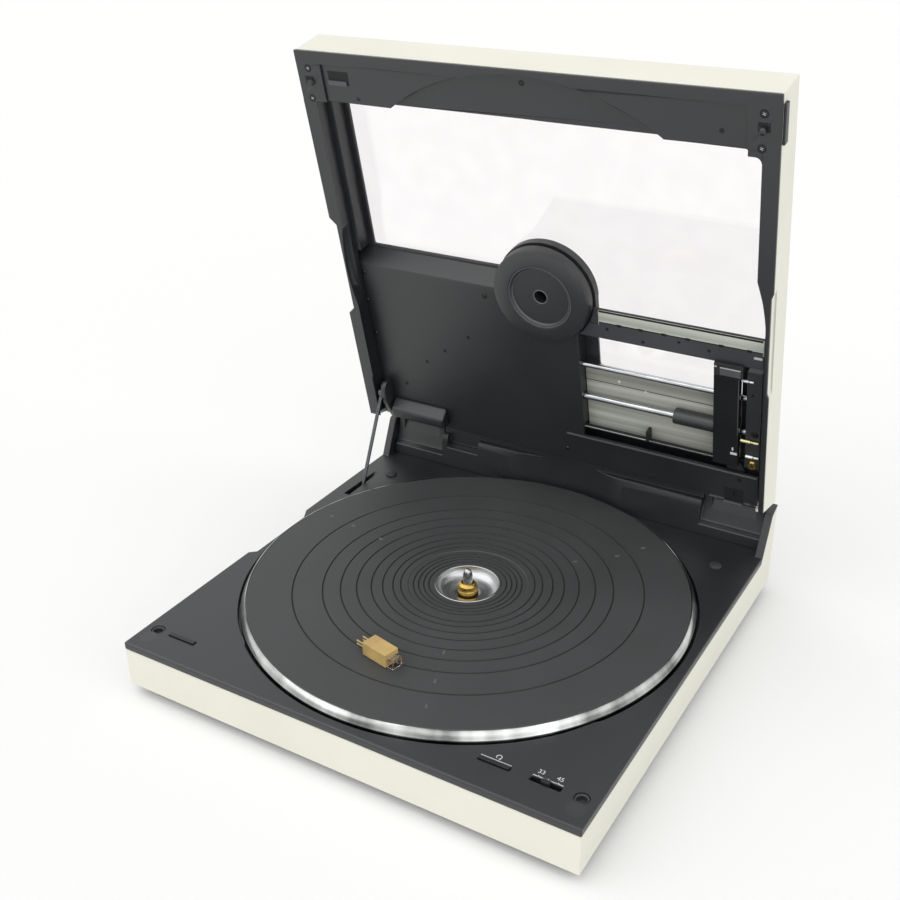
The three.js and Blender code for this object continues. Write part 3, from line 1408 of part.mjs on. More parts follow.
piece(
  "clamp_spindle",
  ring(
    lidLevels([
      [CLAMP_SHAFT_BORE, shaftFoot], [CLAMP_SHAFT_RADIUS, shaftFoot],
      [CLAMP_SHAFT_RADIUS, shaftTop], [CLAMP_SHAFT_BORE, shaftTop],
    ]),
    SMALL_SIDES,
  ),
  DARK_METAL,
  lid,
);
const dishFloor = CLAMP_FACE_DEPTH + CLAMP_DISH_DEPTH;
piece(
  "clamp_disc",
  ring(
    lidLevels([
      [CLAMP_BORE_RADIUS, dishFloor], [CLAMP_DISH_RADIUS - CLAMP_DISH_DEPTH, dishFloor],
      [CLAMP_DISH_RADIUS, CLAMP_FACE_DEPTH], [CLAMP_RADIUS - CLAMP_CHAMFER, CLAMP_FACE_DEPTH],
      [CLAMP_RADIUS, CLAMP_FACE_DEPTH + CLAMP_CHAMFER], [CLAMP_RADIUS, clampBack],
      [shaftBore, clampBack], [shaftBore, clampSeat], [CLAMP_BORE_RADIUS, clampSeat],
    ]),
    ROUND_SIDES,
  ),
  CHARCOAL,
  lid,
);

// Guide rods, and the block that holds their right ends and the belt's idler.
for (const [name, [place, radius]] of Object.entries(rods)) {
  piece(
    "guide_rod_" + name,
    lidRod(place, ROD_DEPTH, radius, rodSeatLeft + CLEARANCE, rodSeatRight - CLEARANCE, TINY_SIDES),
    POLISHED,
    lid,
  );
}
const plateFoot = panelTop - PLATE_THICKNESS;
const beltFoot = panelUnder + CLEARANCE;
const beltTop = beltFoot + BELT_WIDTH;
const pulleyRadius = BELT_HALF - BELT_THICKNESS - CLEARANCE;
const idlerFoot = beltTop + CLEARANCE;
const endBlock = joined(
  lidBlock(endBlockLeft, panelEnd, END_BLOCK_NEAR, END_BLOCK_FAR, PANEL_DEPTH, panelTop),
  lidBlock(
    idlerX - pulleyRadius, panelEnd, BELT_MIDDLE - pulleyRadius, END_BLOCK_NEAR + OVERRUN,
    idlerFoot, plateFoot - CLEARANCE,
  ),
  barZ(
    idlerX, lidY(BELT_MIDDLE), pulleyRadius, lidZ(beltFoot), lidZ(idlerFoot + OVERRUN), SMALL_SIDES,
  ),
);
piece(
  "rod_end_block",
  withRodBores(endBlock, endBlockLeft - OVERRUN, rodSeatRight),
  CHARCOAL,
  lid,
);
piece(
  "rail_plate",
  lidBlock(
    PANEL_RIGHT + CLEARANCE, endBlockLeft - CLEARANCE, PLATE_NEAR, PLATE_FAR, plateFoot, panelTop,
  ),
  PLATE_GREY,
  lid,
);

// Bar across the window's step, and the bright scale strip on its shelf.
piece(
  "rail_bridge",
  cut(
    joined(
      lidBlock(
        BRIDGE_LEFT, panelEnd, bridgeNear, bridgeFar, BRIDGE_DEPTH, BRIDGE_DEPTH + BRIDGE_THICKNESS,
      ),
      lidBlock(
        BRIDGE_LEFT, panelEnd, bridgeFar - OVERRUN, bridgeShelfFar,
        BRIDGE_DEPTH + STRIP_THICKNESS + CLEARANCE,
        BRIDGE_DEPTH + STRIP_THICKNESS + CLEARANCE + BRIDGE_SHELF_THICKNESS,
      ),
    ),
    clampBite,
  ),
  CHARCOAL,
  lid,
);
piece(
  "scale_strip",
  lidBlock(
    STRIP_LEFT, panelEnd, bridgeFar + CLEARANCE, stripFar,
    BRIDGE_DEPTH, BRIDGE_DEPTH + STRIP_THICKNESS,
  ),
  BRUSHED,
  lid,
);

// Arm drive: a flat motor with its pulley, and the belt that runs round it and the idler.
const motorX = DRIVE_MOTOR_X;
piece(
  "arm_drive_motor",
  joined(
    barZ(
      motorX, lidY(BELT_MIDDLE), DRIVE_MOTOR_RADIUS, lidZ(idlerFoot), lidZ(panelTop), SMALL_SIDES,
    ),
    barZ(
      motorX, lidY(BELT_MIDDLE), pulleyRadius, lidZ(beltFoot), lidZ(idlerFoot + OVERRUN), SMALL_SIDES,
    ),
  ),
  DARK_METAL,
  lid,
);
function beltLoop(radius, n0, n1) {
  return joined(
    barZ(motorX, lidY(BELT_MIDDLE), radius, lidZ(n0), lidZ(n1), SMALL_SIDES),
    barZ(idlerX, lidY(BELT_MIDDLE), radius, lidZ(n0), lidZ(n1), SMALL_SIDES),
    lidBlock(motorX, idlerX, BELT_MIDDLE - radius, BELT_MIDDLE + radius, n0, n1),
  );
}
piece(
  "drive_belt",
  cut(
    beltLoop(BELT_HALF, beltFoot, beltTop),
    beltLoop(BELT_HALF - BELT_THICKNESS, beltFoot - OVERRUN, beltTop + OVERRUN),
  ),
  RUBBER,
  lid,
);

// Carriage on the rods, with cheeks for the arm's pivot, and its bearing sleeve.
const armBack = ARM_DEPTH + ARM_THICKNESS;
const armRight = armLeft + ARM_WIDTH;
const carriageFoot = armBack + CLEARANCE;
const carriageTop = plateFoot - CLEARANCE;
const carriageLeft = armLeft + CARRIAGE_INSET;
const carriageRight = carriageLeft + CARRIAGE_WIDTH;
const sleeveRight = armLeft - CLEARANCE;
const carriageBody = joined(
  lidBlock(
    carriageLeft, carriageRight, CARRIAGE_NEAR, CARRIAGE_FAR, carriageFoot, carriageTop,
  ),
  lidBlock(
    carriageLeft, carriageLeft + CARRIAGE_CHEEK, CARRIAGE_CHEEK_NEAR, CARRIAGE_NEAR + OVERRUN,
    carriageFoot, carriageTop,
  ),
  lidBlock(
    carriageRight - CARRIAGE_CHEEK, carriageRight, CARRIAGE_CHEEK_NEAR, CARRIAGE_NEAR + OVERRUN,
    carriageFoot, carriageTop,
  ),
);
piece(
  "carriage",
  cut(
    withRodBores(carriageBody, carriageLeft - OVERRUN, carriageRight + OVERRUN),
    lidRod(
      ARM_PIVOT_PLACE, ARM_PIVOT_DEPTH, ARM_PIN_RADIUS + CLEARANCE,
      carriageLeft - OVERRUN, carriageRight + OVERRUN, TINY_SIDES,
    ),
  ),
  CHARCOAL,
  lid,
);
const sleeveLeft = sleeveRight - SLEEVE_LENGTH;
const sleeveBody = cut(
  lidRod(LOWER_ROD_PLACE, ROD_DEPTH, SLEEVE_RADIUS, sleeveLeft, sleeveRight, SMALL_SIDES),
  lidBlock(
    sleeveLeft - OVERRUN, sleeveRight + OVERRUN, LOWER_ROD_PLACE - SLEEVE_RADIUS - OVERRUN,
    LOWER_ROD_PLACE + SLEEVE_RADIUS + OVERRUN, carriageTop, LID_HEIGHT,
  ),
);
piece(
  "bearing_sleeve",
  cut(
    sleeveBody,
    rodBore(LOWER_ROD_PLACE, LOWER_ROD_RADIUS, sleeveLeft - OVERRUN, sleeveRight + OVERRUN),
  ),
  CHARCOAL,
  lid,
);

// Tone arm: a flat beam on a pivot lug, with the headshell at its far end.
const lugLeft = carriageLeft + CARRIAGE_CHEEK + CLEARANCE;
const lugRight = carriageRight - CARRIAGE_CHEEK - CLEARANCE;
piece(
  "tone_arm",
  joined(
    lidBlock(armLeft, armRight, ARM_NEAR, HEADSHELL_NEAR - CLEARANCE, ARM_DEPTH, armBack),
    lidBlock(
      lugLeft, lugRight, ARM_PIVOT_PLACE - ARM_LUG_HALF, ARM_PIVOT_PLACE + ARM_LUG_HALF,
      armBack - OVERRUN, ARM_PIVOT_DEPTH + ARM_LUG_HALF,
    ),
    lidRod(
      ARM_PIVOT_PLACE, ARM_PIVOT_DEPTH, ARM_PIN_RADIUS, carriageLeft, carriageRight, TINY_SIDES,
    ),
  ),
  CHARCOAL,
  lid,
);
piece(
  "headshell",
  joined(
    lidBlock(
      armLeft, armLeft + HEADSHELL_WIDTH, HEADSHELL_NEAR, HEADSHELL_FAR,
      ARM_DEPTH, ARM_DEPTH + HEADSHELL_HEIGHT,
    ),
    lidBlock(
      armLeft, armLeft + HEADSHELL_WIDTH, HEADSHELL_FAR - OVERRUN, HEADSHELL_FAR + HEADSHELL_LIP,
      ARM_DEPTH, ARM_DEPTH + HEADSHELL_LIP_THICKNESS,
    ),
  ),
  CHARCOAL,
  lid,
);

// Keys through the lid's front strip, over a switch board, and catch buttons in its sides.
const keyTop = LID_HEIGHT + KEY_PROUD;
const keyFoot = keyTop - KEY_HEIGHT;
const keyFlangeTop = shellUnder - CLEARANCE;
Object.entries({ start: 0, stop: 1, cue: 2 }).forEach(([name, i]) => {
  const x = keyXs[i];
  const key = joined(
    lidBlock(
      x - keyHalf, x + keyHalf, keyPlace - KEY_DEPTH / 2, keyPlace + KEY_DEPTH / 2,
      keyFoot, keyTop,
    ),
    lidBlock(
      x - keyHalf - KEY_FLANGE, x + keyHalf + KEY_FLANGE,
      keyPlace - KEY_DEPTH / 2 - KEY_FLANGE, keyPlace + KEY_DEPTH / 2 + KEY_FLANGE,
      keyFoot, keyFlangeTop,
    ),
  );
  piece("key_" + name, key, CHARCOAL, lid);
});
const keyBoardNear = barNear + LID_WALL + CLEARANCE;
const keyBoardTop = keyFoot - KEY_STROKE - KEY_BOARD_GAP;
piece(
  "key_switch_board",
  lidBlock(
    keyXs[0] - KEY_WIDTH, keyXs[2] + KEY_WIDTH, keyBoardNear, keyPlace + KEY_DEPTH / 2,
    keyBoardTop - BOARD_THICKNESS, keyBoardTop,
  ),
  BOARD_GREEN,
  lid,
);
for (const [side, x] of Object.entries(footPlaces)) {
  const faces = [x * catchInner, x * catchOuter].sort((a, b) => a - b);
  piece(
    "lid_catch_" + side,
    lidBlock(...faces, catchNear, catchFar, CATCH_DEPTH, CATCH_DEPTH + CATCH_HEIGHT),
    DARK_METAL,
    lid,
  );
}

// Hinge arms on the lid's slanted end: a plate, a web and a knuckle round the pin. Points
// lie s up the end and o out of it.
const endSlant = Math.hypot(END_RUN, LID_HEIGHT);
function onEnd([s, o]) {
  return [-(s * END_RUN + o * LID_HEIGHT) / endSlant, (s * LID_HEIGHT - o * END_RUN) / endSlant];
}
const hingeOut = ((hingeY - lidRearY) * LID_HEIGHT - (hingeZ - rimZ) * END_RUN) / endSlant;
const hingeUp = ((hingeY - lidRearY) * END_RUN + (hingeZ - rimZ) * LID_HEIGHT) / endSlant;
for (const [side, [x0, x1]] of Object.entries(pinZone)) {
  const middle = (x0 + x1) / 2;
  const armX = [middle - HINGE_ARM_WIDTH / 2, middle + HINGE_ARM_WIDTH / 2];
  const arm = cut(
    joined(
      lidPrism(
        [
          [HINGE_ARM_FOOT, CLEARANCE], [HINGE_ARM_TOP, CLEARANCE],
          [hingeUp, hingeOut - knuckleRadius], [hingeUp + HINGE_ARM_PLATE, hingeOut],
          [hingeUp, hingeOut + knuckleRadius - HINGE_ARM_PLATE],
          [hingeUp - knuckleRadius, hingeOut + HINGE_ARM_PLATE / 2],
          [HINGE_ARM_FOOT, CLEARANCE + HINGE_ARM_PLATE],
        ].map(onEnd),
        ...armX,
      ),
      barX(hingeY, hingeZ, knuckleRadius, ...armX, SMALL_SIDES),
    ),
    barX(hingeY, hingeZ, knuckleBore, armX[0] - OVERRUN, armX[1] + OVERRUN, SMALL_SIDES),
  );
  piece("lid_hinge_arm_" + side, arm, DARK_METAL, lid);
}

// Strut: a rod with an eye on the bracket's pin, leaning into the deck.
const strut = new THREE.Group();
strut.position.set(strutX, lidY(STRUT_PLACE), lidZ(STRUT_DEPTH));
strut.rotation.x = THREE.MathUtils.degToRad(OPEN_ANGLE - 90 + STRUT_LEAN);
lid.add(strut);
const eyeBore = STRUT_PIN_RADIUS + CLEARANCE;
piece(
  "strut_rod",
  cut(
    joined(
      barZ(0, 0, STRUT_RADIUS, -STRUT_LENGTH, -eyeBore, TINY_SIDES),
      barX(0, 0, STRUT_EYE_RADIUS, -STRUT_RADIUS, STRUT_RADIUS, SMALL_SIDES),
    ),
    barX(0, 0, eyeBore, -STRUT_RADIUS - OVERRUN, STRUT_RADIUS + OVERRUN, TINY_SIDES),
  ),
  POLISHED,
  strut,
);

export default turntable;
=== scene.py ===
import math

import bmesh
import bpy
from mathutils import Matrix, Vector


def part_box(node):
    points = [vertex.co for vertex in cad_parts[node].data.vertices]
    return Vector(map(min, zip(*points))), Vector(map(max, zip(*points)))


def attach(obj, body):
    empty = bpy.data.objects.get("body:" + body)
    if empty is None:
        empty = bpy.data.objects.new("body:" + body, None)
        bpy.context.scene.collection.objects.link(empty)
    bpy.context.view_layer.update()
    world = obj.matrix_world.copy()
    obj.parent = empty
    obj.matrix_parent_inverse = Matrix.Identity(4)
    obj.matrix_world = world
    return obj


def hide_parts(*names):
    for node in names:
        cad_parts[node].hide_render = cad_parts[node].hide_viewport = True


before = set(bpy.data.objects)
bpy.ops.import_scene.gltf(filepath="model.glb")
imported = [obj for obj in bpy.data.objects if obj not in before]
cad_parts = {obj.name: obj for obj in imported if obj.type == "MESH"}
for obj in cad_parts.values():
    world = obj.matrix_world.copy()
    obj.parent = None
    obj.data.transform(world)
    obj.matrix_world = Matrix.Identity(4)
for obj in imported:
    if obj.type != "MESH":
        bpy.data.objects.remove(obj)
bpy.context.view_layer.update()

scene = bpy.context.scene


# Camera. It stands in front of the right corner, well above the deck, and leans a little to
# the left. Places are in metres, X to the right, Y to the rear and Z up from the table.
CAMERA_TARGET = Vector((-0.04176, 0.04839, 0.11132))
CAMERA_DISTANCE = 0.81294
CAMERA_AZIMUTH = math.radians(31.13)
CAMERA_ELEVATION = math.radians(27.43)
CAMERA_LEAN = math.radians(-0.704)
CAMERA_LENS = 47.47
SENSOR_WIDTH = 36.0
CAMERA_NEAREST = 0.01

camera_data = bpy.data.cameras.new("camera")
camera_data.lens = CAMERA_LENS
camera_data.sensor_width = SENSOR_WIDTH
camera_data.clip_start = CAMERA_NEAREST
camera = bpy.data.objects.new("camera", camera_data)
scene.collection.objects.link(camera)
camera.matrix_world = (
    Matrix.Translation(CAMERA_TARGET)
    @ Matrix.Rotation(CAMERA_AZIMUTH, 4, "Z")
    @ Matrix.Rotation(math.pi / 2 - CAMERA_ELEVATION, 4, "X")
    @ Matrix.Rotation(CAMERA_LEAN, 4, "Z")
    @ Matrix.Translation((0, 0, CAMERA_DISTANCE))
)
scene.camera = camera
scene.view_settings.view_transform = "Standard"


# Studio light. Two very wide soft lights stand far off above the object, and a dim even room
# fills the rest. What metal, glass and the camera see of the room is white.
ROOM_LEVEL = 0.62
BACKDROP_LEVEL = 0.97
WHITE = (1.0, 1.0, 1.0, 1.0)
SOFT_LIGHTS = {
    "soft_light_left": {"side": (-1.1, -0.9, 1.7), "width": 70.0, "strength": 1.05},
    "soft_light_right": {"side": (1.2, -0.8, 1.2), "width": 80.0, "strength": 0.95},
}


def add_node(tree, kind, inputs=None, **settings):
    """A shader node with its settings; an input is a value or a socket to join it to."""
    node = tree.nodes.new("ShaderNode" + kind)
    for key, value in settings.items():
        setattr(node, key, value)
    for key, value in (inputs or {}).items():
        if isinstance(value, bpy.types.NodeSocket):
            tree.links.new(value, node.inputs[key])
        else:
            node.inputs[key].default_value = value
    return node


def seen_ray(tree):
    """One where a camera, mirror or glass ray arrives, and nought for light itself."""
    path = add_node(tree, "LightPath")
    direct = add_node(
        tree, "Math", {0: path.outputs["Is Camera Ray"], 1: path.outputs["Is Glossy Ray"]},
        operation="MAXIMUM",
    )
    either = add_node(
        tree, "Math", {0: direct.outputs[0], 1: path.outputs["Is Transmission Ray"]},
        operation="MAXIMUM",
    )
    return either.outputs[0]


world = bpy.data.worlds.new("studio")
world.use_nodes = True
scene.world = world
world.node_tree.nodes.clear()
room = add_node(world.node_tree, "Background", {"Color": WHITE, "Strength": ROOM_LEVEL})
backdrop = add_node(world.node_tree, "Background", {"Color": WHITE, "Strength": BACKDROP_LEVEL})
room_mix = add_node(
    world.node_tree, "MixShader",
    {0: seen_ray(world.node_tree), 1: room.outputs[0], 2: backdrop.outputs[0]},
)
add_node(world.node_tree, "OutputWorld", {"Surface": room_mix.outputs[0]})
for lamp_name, lamp in SOFT_LIGHTS.items():
    lamp_data = bpy.data.lights.new(lamp_name, "SUN")
    lamp_data.angle = math.radians(lamp["width"])
    lamp_data.energy = lamp["strength"]
    lamp_object = bpy.data.objects.new(lamp_name, lamp_data)
    scene.collection.objects.link(lamp_object)
    lamp_side = Vector(lamp["side"])
    toward = (-lamp_side).to_track_quat("-Z", "Y")
    lamp_object.matrix_world = Matrix.Translation(lamp_side) @ toward.to_matrix().to_4x4()


# Floor: a seamless sheet of pale card under the object. It keeps the object's soft shadow, and
# a faint glow brings it near the white of the backdrop.
FLOOR_HALF = 14.0
FLOOR_COLOUR = (0.905, 0.905, 0.90, 1.0)
FLOOR_GLOW = 0.03

floor_finish = bpy.data.materials.new("pale_card")
floor_finish.use_nodes = True
floor_tree = floor_finish.node_tree
floor_tree.nodes.clear()
card = add_node(floor_tree, "BsdfDiffuse", {"Color": FLOOR_COLOUR})
card_glow = add_node(
    floor_tree, "Math", {0: seen_ray(floor_tree), 1: FLOOR_GLOW}, operation="MULTIPLY"
)
card_light = add_node(floor_tree, "Emission", {"Color": WHITE, "Strength": card_glow.outputs[0]})
card_sum = add_node(floor_tree, "AddShader", {0: card.outputs[0], 1: card_light.outputs[0]})
add_node(floor_tree, "OutputMaterial", {"Surface": card_sum.outputs[0]})
floor_mesh = bmesh.new()
bmesh.ops.create_grid(floor_mesh, x_segments=1, y_segments=1, size=FLOOR_HALF)
floor_data = bpy.data.meshes.new("floor")
floor_mesh.to_mesh(floor_data)
floor_mesh.free()
floor_data.materials.append(floor_finish)
floor = bpy.data.objects.new("floor", floor_data)
scene.collection.objects.link(floor)


# Feet: four turned rubber feet screwed under the cabinet near its corners, each with a
# moulded step round its side and a shallow dished sole.
FOOT_NODES = ("foot_front_left", "foot_front_right", "foot_rear_left", "foot_rear_right")
FOOT_STEP = 0.0012
FOOT_SOLE_DISH = 0.0006
FOOT_DISH_SHARE = 0.6
FOOT_SOLE_SHARE = 0.66
FOOT_EASE = 0.0008
FOOT_STEPS = 64
RUBBER_COLOUR = (34, 35, 36)
SMOOTH_BELOW = math.radians(28)
MERGE = 1e-6
SHEEN_SPREAD = 0.06
FINE_GRAIN = 0.0004
FINE_DEPTH = 0.00001
CLOUD_SIZE = 0.04
CLOUD_CONTRAST = 0.06
PLAIN_GLOSS = 0.5


def paint(red, green, blue):
    """A colour given as it looks on a screen, from 0 to 255, as the renderer counts light."""
    def linear(level):
        share = level / 255
        return share / 12.92 if share <= 0.04045 else ((share + 0.055) / 1.055) ** 2.4
    return (linear(red), linear(green), linear(blue), 1.0)


def shade(colour, share):
    """The same colour a share lighter or darker."""
    return tuple(min(255, level * share) for level in colour)


def new_finish(name, metal=0.0, **sockets):
    """An empty finish: its material, its tree, its Principled shader and object coordinates."""
    finish = bpy.data.materials.new(name)
    finish.use_nodes = True
    tree = finish.node_tree
    shader = tree.nodes["Principled BSDF"]
    shader.inputs["Metallic"].default_value = metal
    for socket, value in sockets.items():
        shader.inputs[socket.replace("_", " ")].default_value = value
    place = add_node(tree, "TexCoord").outputs["Object"]
    return finish, tree, shader, place


def tint(tree, shader, factor, dark, light, low=0.35, high=0.65):
    """Colours a shader from dark to light by a factor."""
    ramp = add_node(tree, "ValToRGB", {"Fac": factor})
    ramp.color_ramp.elements[0].position = low
    ramp.color_ramp.elements[0].color = paint(*dark)
    ramp.color_ramp.elements[1].position = high
    ramp.color_ramp.elements[1].color = paint(*light)
    tree.links.new(ramp.outputs["Color"], shader.inputs["Base Color"])


def spread(tree, shader, factor, low, high):
    """Varies a shader's roughness between two values by a factor."""
    reach = add_node(tree, "MapRange", {"Value": factor, "To Min": low, "To Max": high})
    tree.links.new(reach.outputs["Result"], shader.inputs["Roughness"])


def relief(tree, shader, height, depth):
    """Gives a shader a fine relief of a real depth in metres."""
    bump = add_node(tree, "Bump", {"Height": height, "Distance": depth, "Strength": 1.0})
    tree.links.new(bump.outputs["Normal"], shader.inputs["Normal"])


def moulded(
    name, colour, rough, grain=FINE_GRAIN, depth=FINE_DEPTH, cloud=CLOUD_SIZE,
    contrast=CLOUD_CONTRAST, gloss=PLAIN_GLOSS,
):
    """A moulded plastic or rubber: a fine sparked grain, faint clouds and uneven sheen."""
    finish, tree, shader, place = new_finish(name, Specular_IOR_Level=gloss)
    clouds = add_node(tree, "TexNoise", {"Vector": place, "Scale": 1 / cloud, "Detail": 6.0})
    tint(
        tree, shader, clouds.outputs["Fac"], shade(colour, 1 - contrast),
        shade(colour, 1 + contrast),
    )
    sparks = add_node(tree, "TexNoise", {"Vector": place, "Scale": 1 / grain, "Detail": 2.0})
    spread(tree, shader, clouds.outputs["Fac"], rough - SHEEN_SPREAD, rough + SHEEN_SPREAD)
    relief(tree, shader, sparks.outputs["Fac"], depth)
    return finish


def turned(outline, steps, closed=False):
    """A solid spun about Z on points (radius, height), from axis to axis or a closed ring."""
    mesh = bmesh.new()
    corners = [mesh.verts.new((radius, 0, height)) for radius, height in outline]
    ends = corners[1:] + corners[:1] if closed else corners[1:]
    sides = [mesh.edges.new(pair) for pair in zip(corners, ends)]
    bmesh.ops.spin(
        mesh, geom=corners + sides, cent=(0, 0, 0), axis=(0, 0, 1), angle=2 * math.pi,
        steps=steps, use_merge=True,
    )
    bmesh.ops.remove_doubles(mesh, verts=mesh.verts, dist=MERGE)
    bmesh.ops.recalc_face_normals(mesh, faces=mesh.faces)
    return mesh


def set_at(mesh, x, y, z):
    """Moves a mesh that was made round the origin to its place."""
    bmesh.ops.translate(mesh, verts=mesh.verts, vec=(x, y, z))


def piece(name, mesh, *finishes):
    """Makes a bmesh a visible piece with soft shading across its shallow edges."""
    data = bpy.data.meshes.new(name)
    mesh.to_mesh(data)
    mesh.free()
    for finish in finishes:
        data.materials.append(finish)
    data.shade_smooth()
    data.set_sharp_from_angle(angle=SMOOTH_BELOW)
    made = bpy.data.objects.new(name, data)
    scene.collection.objects.link(made)
    return made


def middle(node):
    """The middle of a frame part's box."""
    low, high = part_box(node)
    return (Vector(low) + Vector(high)) / 2


foot_rubber = moulded("foot_rubber", RUBBER_COLOUR, rough=0.75, grain=0.0006, depth=0.00004)
for foot_node in FOOT_NODES:
    foot_low, foot_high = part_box(foot_node)
    foot_height = foot_high[2] - foot_low[2]
    foot_radius = (foot_high[0] - foot_low[0]) / 2
    foot_mesh = turned(
        [
            (0, FOOT_SOLE_DISH), (foot_radius * FOOT_DISH_SHARE, FOOT_SOLE_DISH),
            (foot_radius * FOOT_SOLE_SHARE, 0),
            (foot_radius - FOOT_STEP - FOOT_EASE, 0), (foot_radius - FOOT_STEP, FOOT_EASE),
            (foot_radius - FOOT_STEP, foot_height / 2), (foot_radius, foot_height / 2 + FOOT_EASE),
            (foot_radius, foot_height), (0, foot_height),
        ],
        FOOT_STEPS,
    )
    foot_middle = middle(foot_node)
    set_at(foot_mesh, foot_middle.x, foot_middle.y, foot_low[2])
    foot = piece(foot_node + "_pad", foot_mesh, foot_rubber)
    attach(foot, "root")
    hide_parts(foot_node)


# Bottom cover and what the case hides: a folded steel plate, the mains transformer, the circuit
# boards, the strut's guide and the wound motor. Only the cover's underside shows.
STEEL_COLOUR = (96, 99, 103)
BOARD_COLOUR = (38, 84, 52)
COPPER_COLOUR = (150, 88, 48)
MAGNET_COLOUR = (52, 52, 56)
WIRE_PITCH = 0.0006
WIRE_RELIEF = 0.0002
WIRE_SHADE = 0.6
WIRE_SHEEN = (0.3, 0.45)
WIRE_METAL = 0.8
TRACK_SCALE = 180.0
TRACK_RELIEF = 0.00004
TRACK_SHADES = (0.8, 1.3)
TRACK_SHEEN = (0.3, 0.5)
SCRATCH_STRETCH = (0.06, 1.0, 1.0)
SCRATCH_SIZE = 0.0009
SCRATCH_RELIEF = 0.000015
SCRATCH_SHADES = (0.9, 1.08)
SCRATCH_SHEEN = (0.08, 0.1)
SHEET_METAL = 0.9


def sheet_metal(name, colour, rough, scratch=SCRATCH_SIZE, metal=SHEET_METAL):
    """Rolled sheet metal: long faint scratches along X over a cloudy surface."""
    finish, tree, shader, place = new_finish(name, metal)
    stretched = add_node(tree, "Mapping", {"Vector": place, "Scale": SCRATCH_STRETCH})
    scratches = add_node(
        tree, "TexNoise",
        {"Vector": stretched.outputs["Vector"], "Scale": 1 / scratch, "Detail": 3.0},
    )
    dark, light = (shade(colour, share) for share in SCRATCH_SHADES)
    tint(tree, shader, scratches.outputs["Fac"], dark, light)
    spread(
        tree, shader, scratches.outputs["Fac"], rough - SCRATCH_SHEEN[0],
        rough + SCRATCH_SHEEN[1],
    )
    relief(tree, shader, scratches.outputs["Fac"], SCRATCH_RELIEF)
    return finish


def wound(name, colour, pitch):
    """Varnished copper wire laid side by side in rings about Z."""
    finish, tree, shader, place = new_finish(name, WIRE_METAL)
    wires = add_node(
        tree, "TexWave", {"Vector": place, "Scale": 1 / pitch / 6, "Distortion": 0.4},
        wave_type="RINGS", rings_direction="Z",
    )
    tint(tree, shader, wires.outputs["Fac"], shade(colour, WIRE_SHADE), colour, 0.1, 0.9)
    spread(tree, shader, wires.outputs["Fac"], *WIRE_SHEEN)
    relief(tree, shader, wires.outputs["Fac"], WIRE_RELIEF)
    return finish


def circuit_board(name, colour):
    """Green solder mask with paler tracks just showing through it."""
    finish, tree, shader, place = new_finish(name)
    tracks = add_node(
        tree, "TexVoronoi", {"Vector": place, "Scale": TRACK_SCALE}, distance="MANHATTAN"
    )
    dark, light = (shade(colour, share) for share in TRACK_SHADES)
    tint(tree, shader, tracks.outputs["Distance"], dark, light, 0.2, 0.5)
    spread(tree, shader, tracks.outputs["Distance"], *TRACK_SHEEN)
    relief(tree, shader, tracks.outputs["Distance"], TRACK_RELIEF)
    return finish


def finish_node(node, finish):
    """Gives a frame part that stays as it is its own finish."""
    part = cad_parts[node]
    if not part.material_slots:
        part.data.materials.append(finish)
    for place in part.material_slots:
        place.material = finish


dark_steel = sheet_metal("dark_steel", STEEL_COLOUR, rough=0.45)
board_mask = circuit_board("board_mask", BOARD_COLOUR)
winding = wound("copper_winding", COPPER_COLOUR, WIRE_PITCH)
ferrite = moulded("ferrite", MAGNET_COLOUR, rough=0.6, depth=0.00002)
for steel_node in ("bottom_cover", "bearing_housing", "strut_guide", "power_transformer"):
    finish_node(steel_node, dark_steel)
for board_node in ("main_circuit_board", "control_switch_board", "key_switch_board"):
    finish_node(board_node, board_mask)
finish_node("motor_stator", winding)
finish_node("rotor_magnet", ferrite)


# Cabinet: a moulded band sprayed with cream paint, open above and below, whose sides climb
# at the rear. Its corners are eased, and years of light have left the paint faintly uneven.
CREAM_COLOUR = (231, 230, 217)
CREAM_WORN = (226, 225, 211)
CABINET_EASE = 0.0009
JOIN = 1e-5
FLAT = math.radians(0.6)
CORNER = math.radians(35)
CIRCLE_SLACK = 6e-5
CHORD_SLACK = 1.02
RIM_SHARE = 0.9
EDGE_EASES = 3
FACE_EASES = 1.6
EASE_STEPS = 2
CORNER_STEPS = 6
PAINT_CLOUD_SCALE = 14.0
PAINT_PEEL_SCALE = 1400.0
PAINT_PEEL_DEPTH = 0.00003
PAINT_SHEEN = (0.42, 0.56)


def sprayed(name, colour, worn):
    """Sprayed paint: a faint orange peel, slow yellowed clouds and a few fine specks."""
    finish, tree, shader, place = new_finish(name)
    cloud = add_node(
        tree, "TexNoise", {"Vector": place, "Scale": PAINT_CLOUD_SCALE, "Detail": 8.0}
    )
    tint(tree, shader, cloud.outputs["Fac"], worn, colour, 0.3, 0.62)
    peel = add_node(
        tree, "TexNoise", {"Vector": place, "Scale": PAINT_PEEL_SCALE, "Detail": 2.0}
    )
    spread(tree, shader, peel.outputs["Fac"], *PAINT_SHEEN)
    relief(tree, shader, peel.outputs["Fac"], PAINT_PEEL_DEPTH)
    return finish


def round_circle(mesh, centre, radius, sides, cuts):
    """Splits the straight sides of a faceted upright circle and sets the new corners on it."""
    def on_circle(corner):
        return abs((corner.co.xy - centre).length - radius) < CIRCLE_SLACK
    longest = 2 * radius * math.sin(math.pi / sides) * CHORD_SLACK
    sides_found = [
        edge for edge in mesh.edges
        if all(on_circle(corner) for corner in edge.verts)
        and abs(edge.verts[0].co.z - edge.verts[1].co.z) < JOIN
        and edge.calc_length() < longest
    ]
    split = bmesh.ops.subdivide_edges(mesh, edges=sides_found, cuts=cuts, use_grid_fill=True)
    for part in split["geom_inner"]:
        if isinstance(part, bmesh.types.BMVert):
            flat = part.co.xy - centre
            if flat.length > radius * RIM_SHARE:
                part.co.xy = centre + flat.normalized() * radius


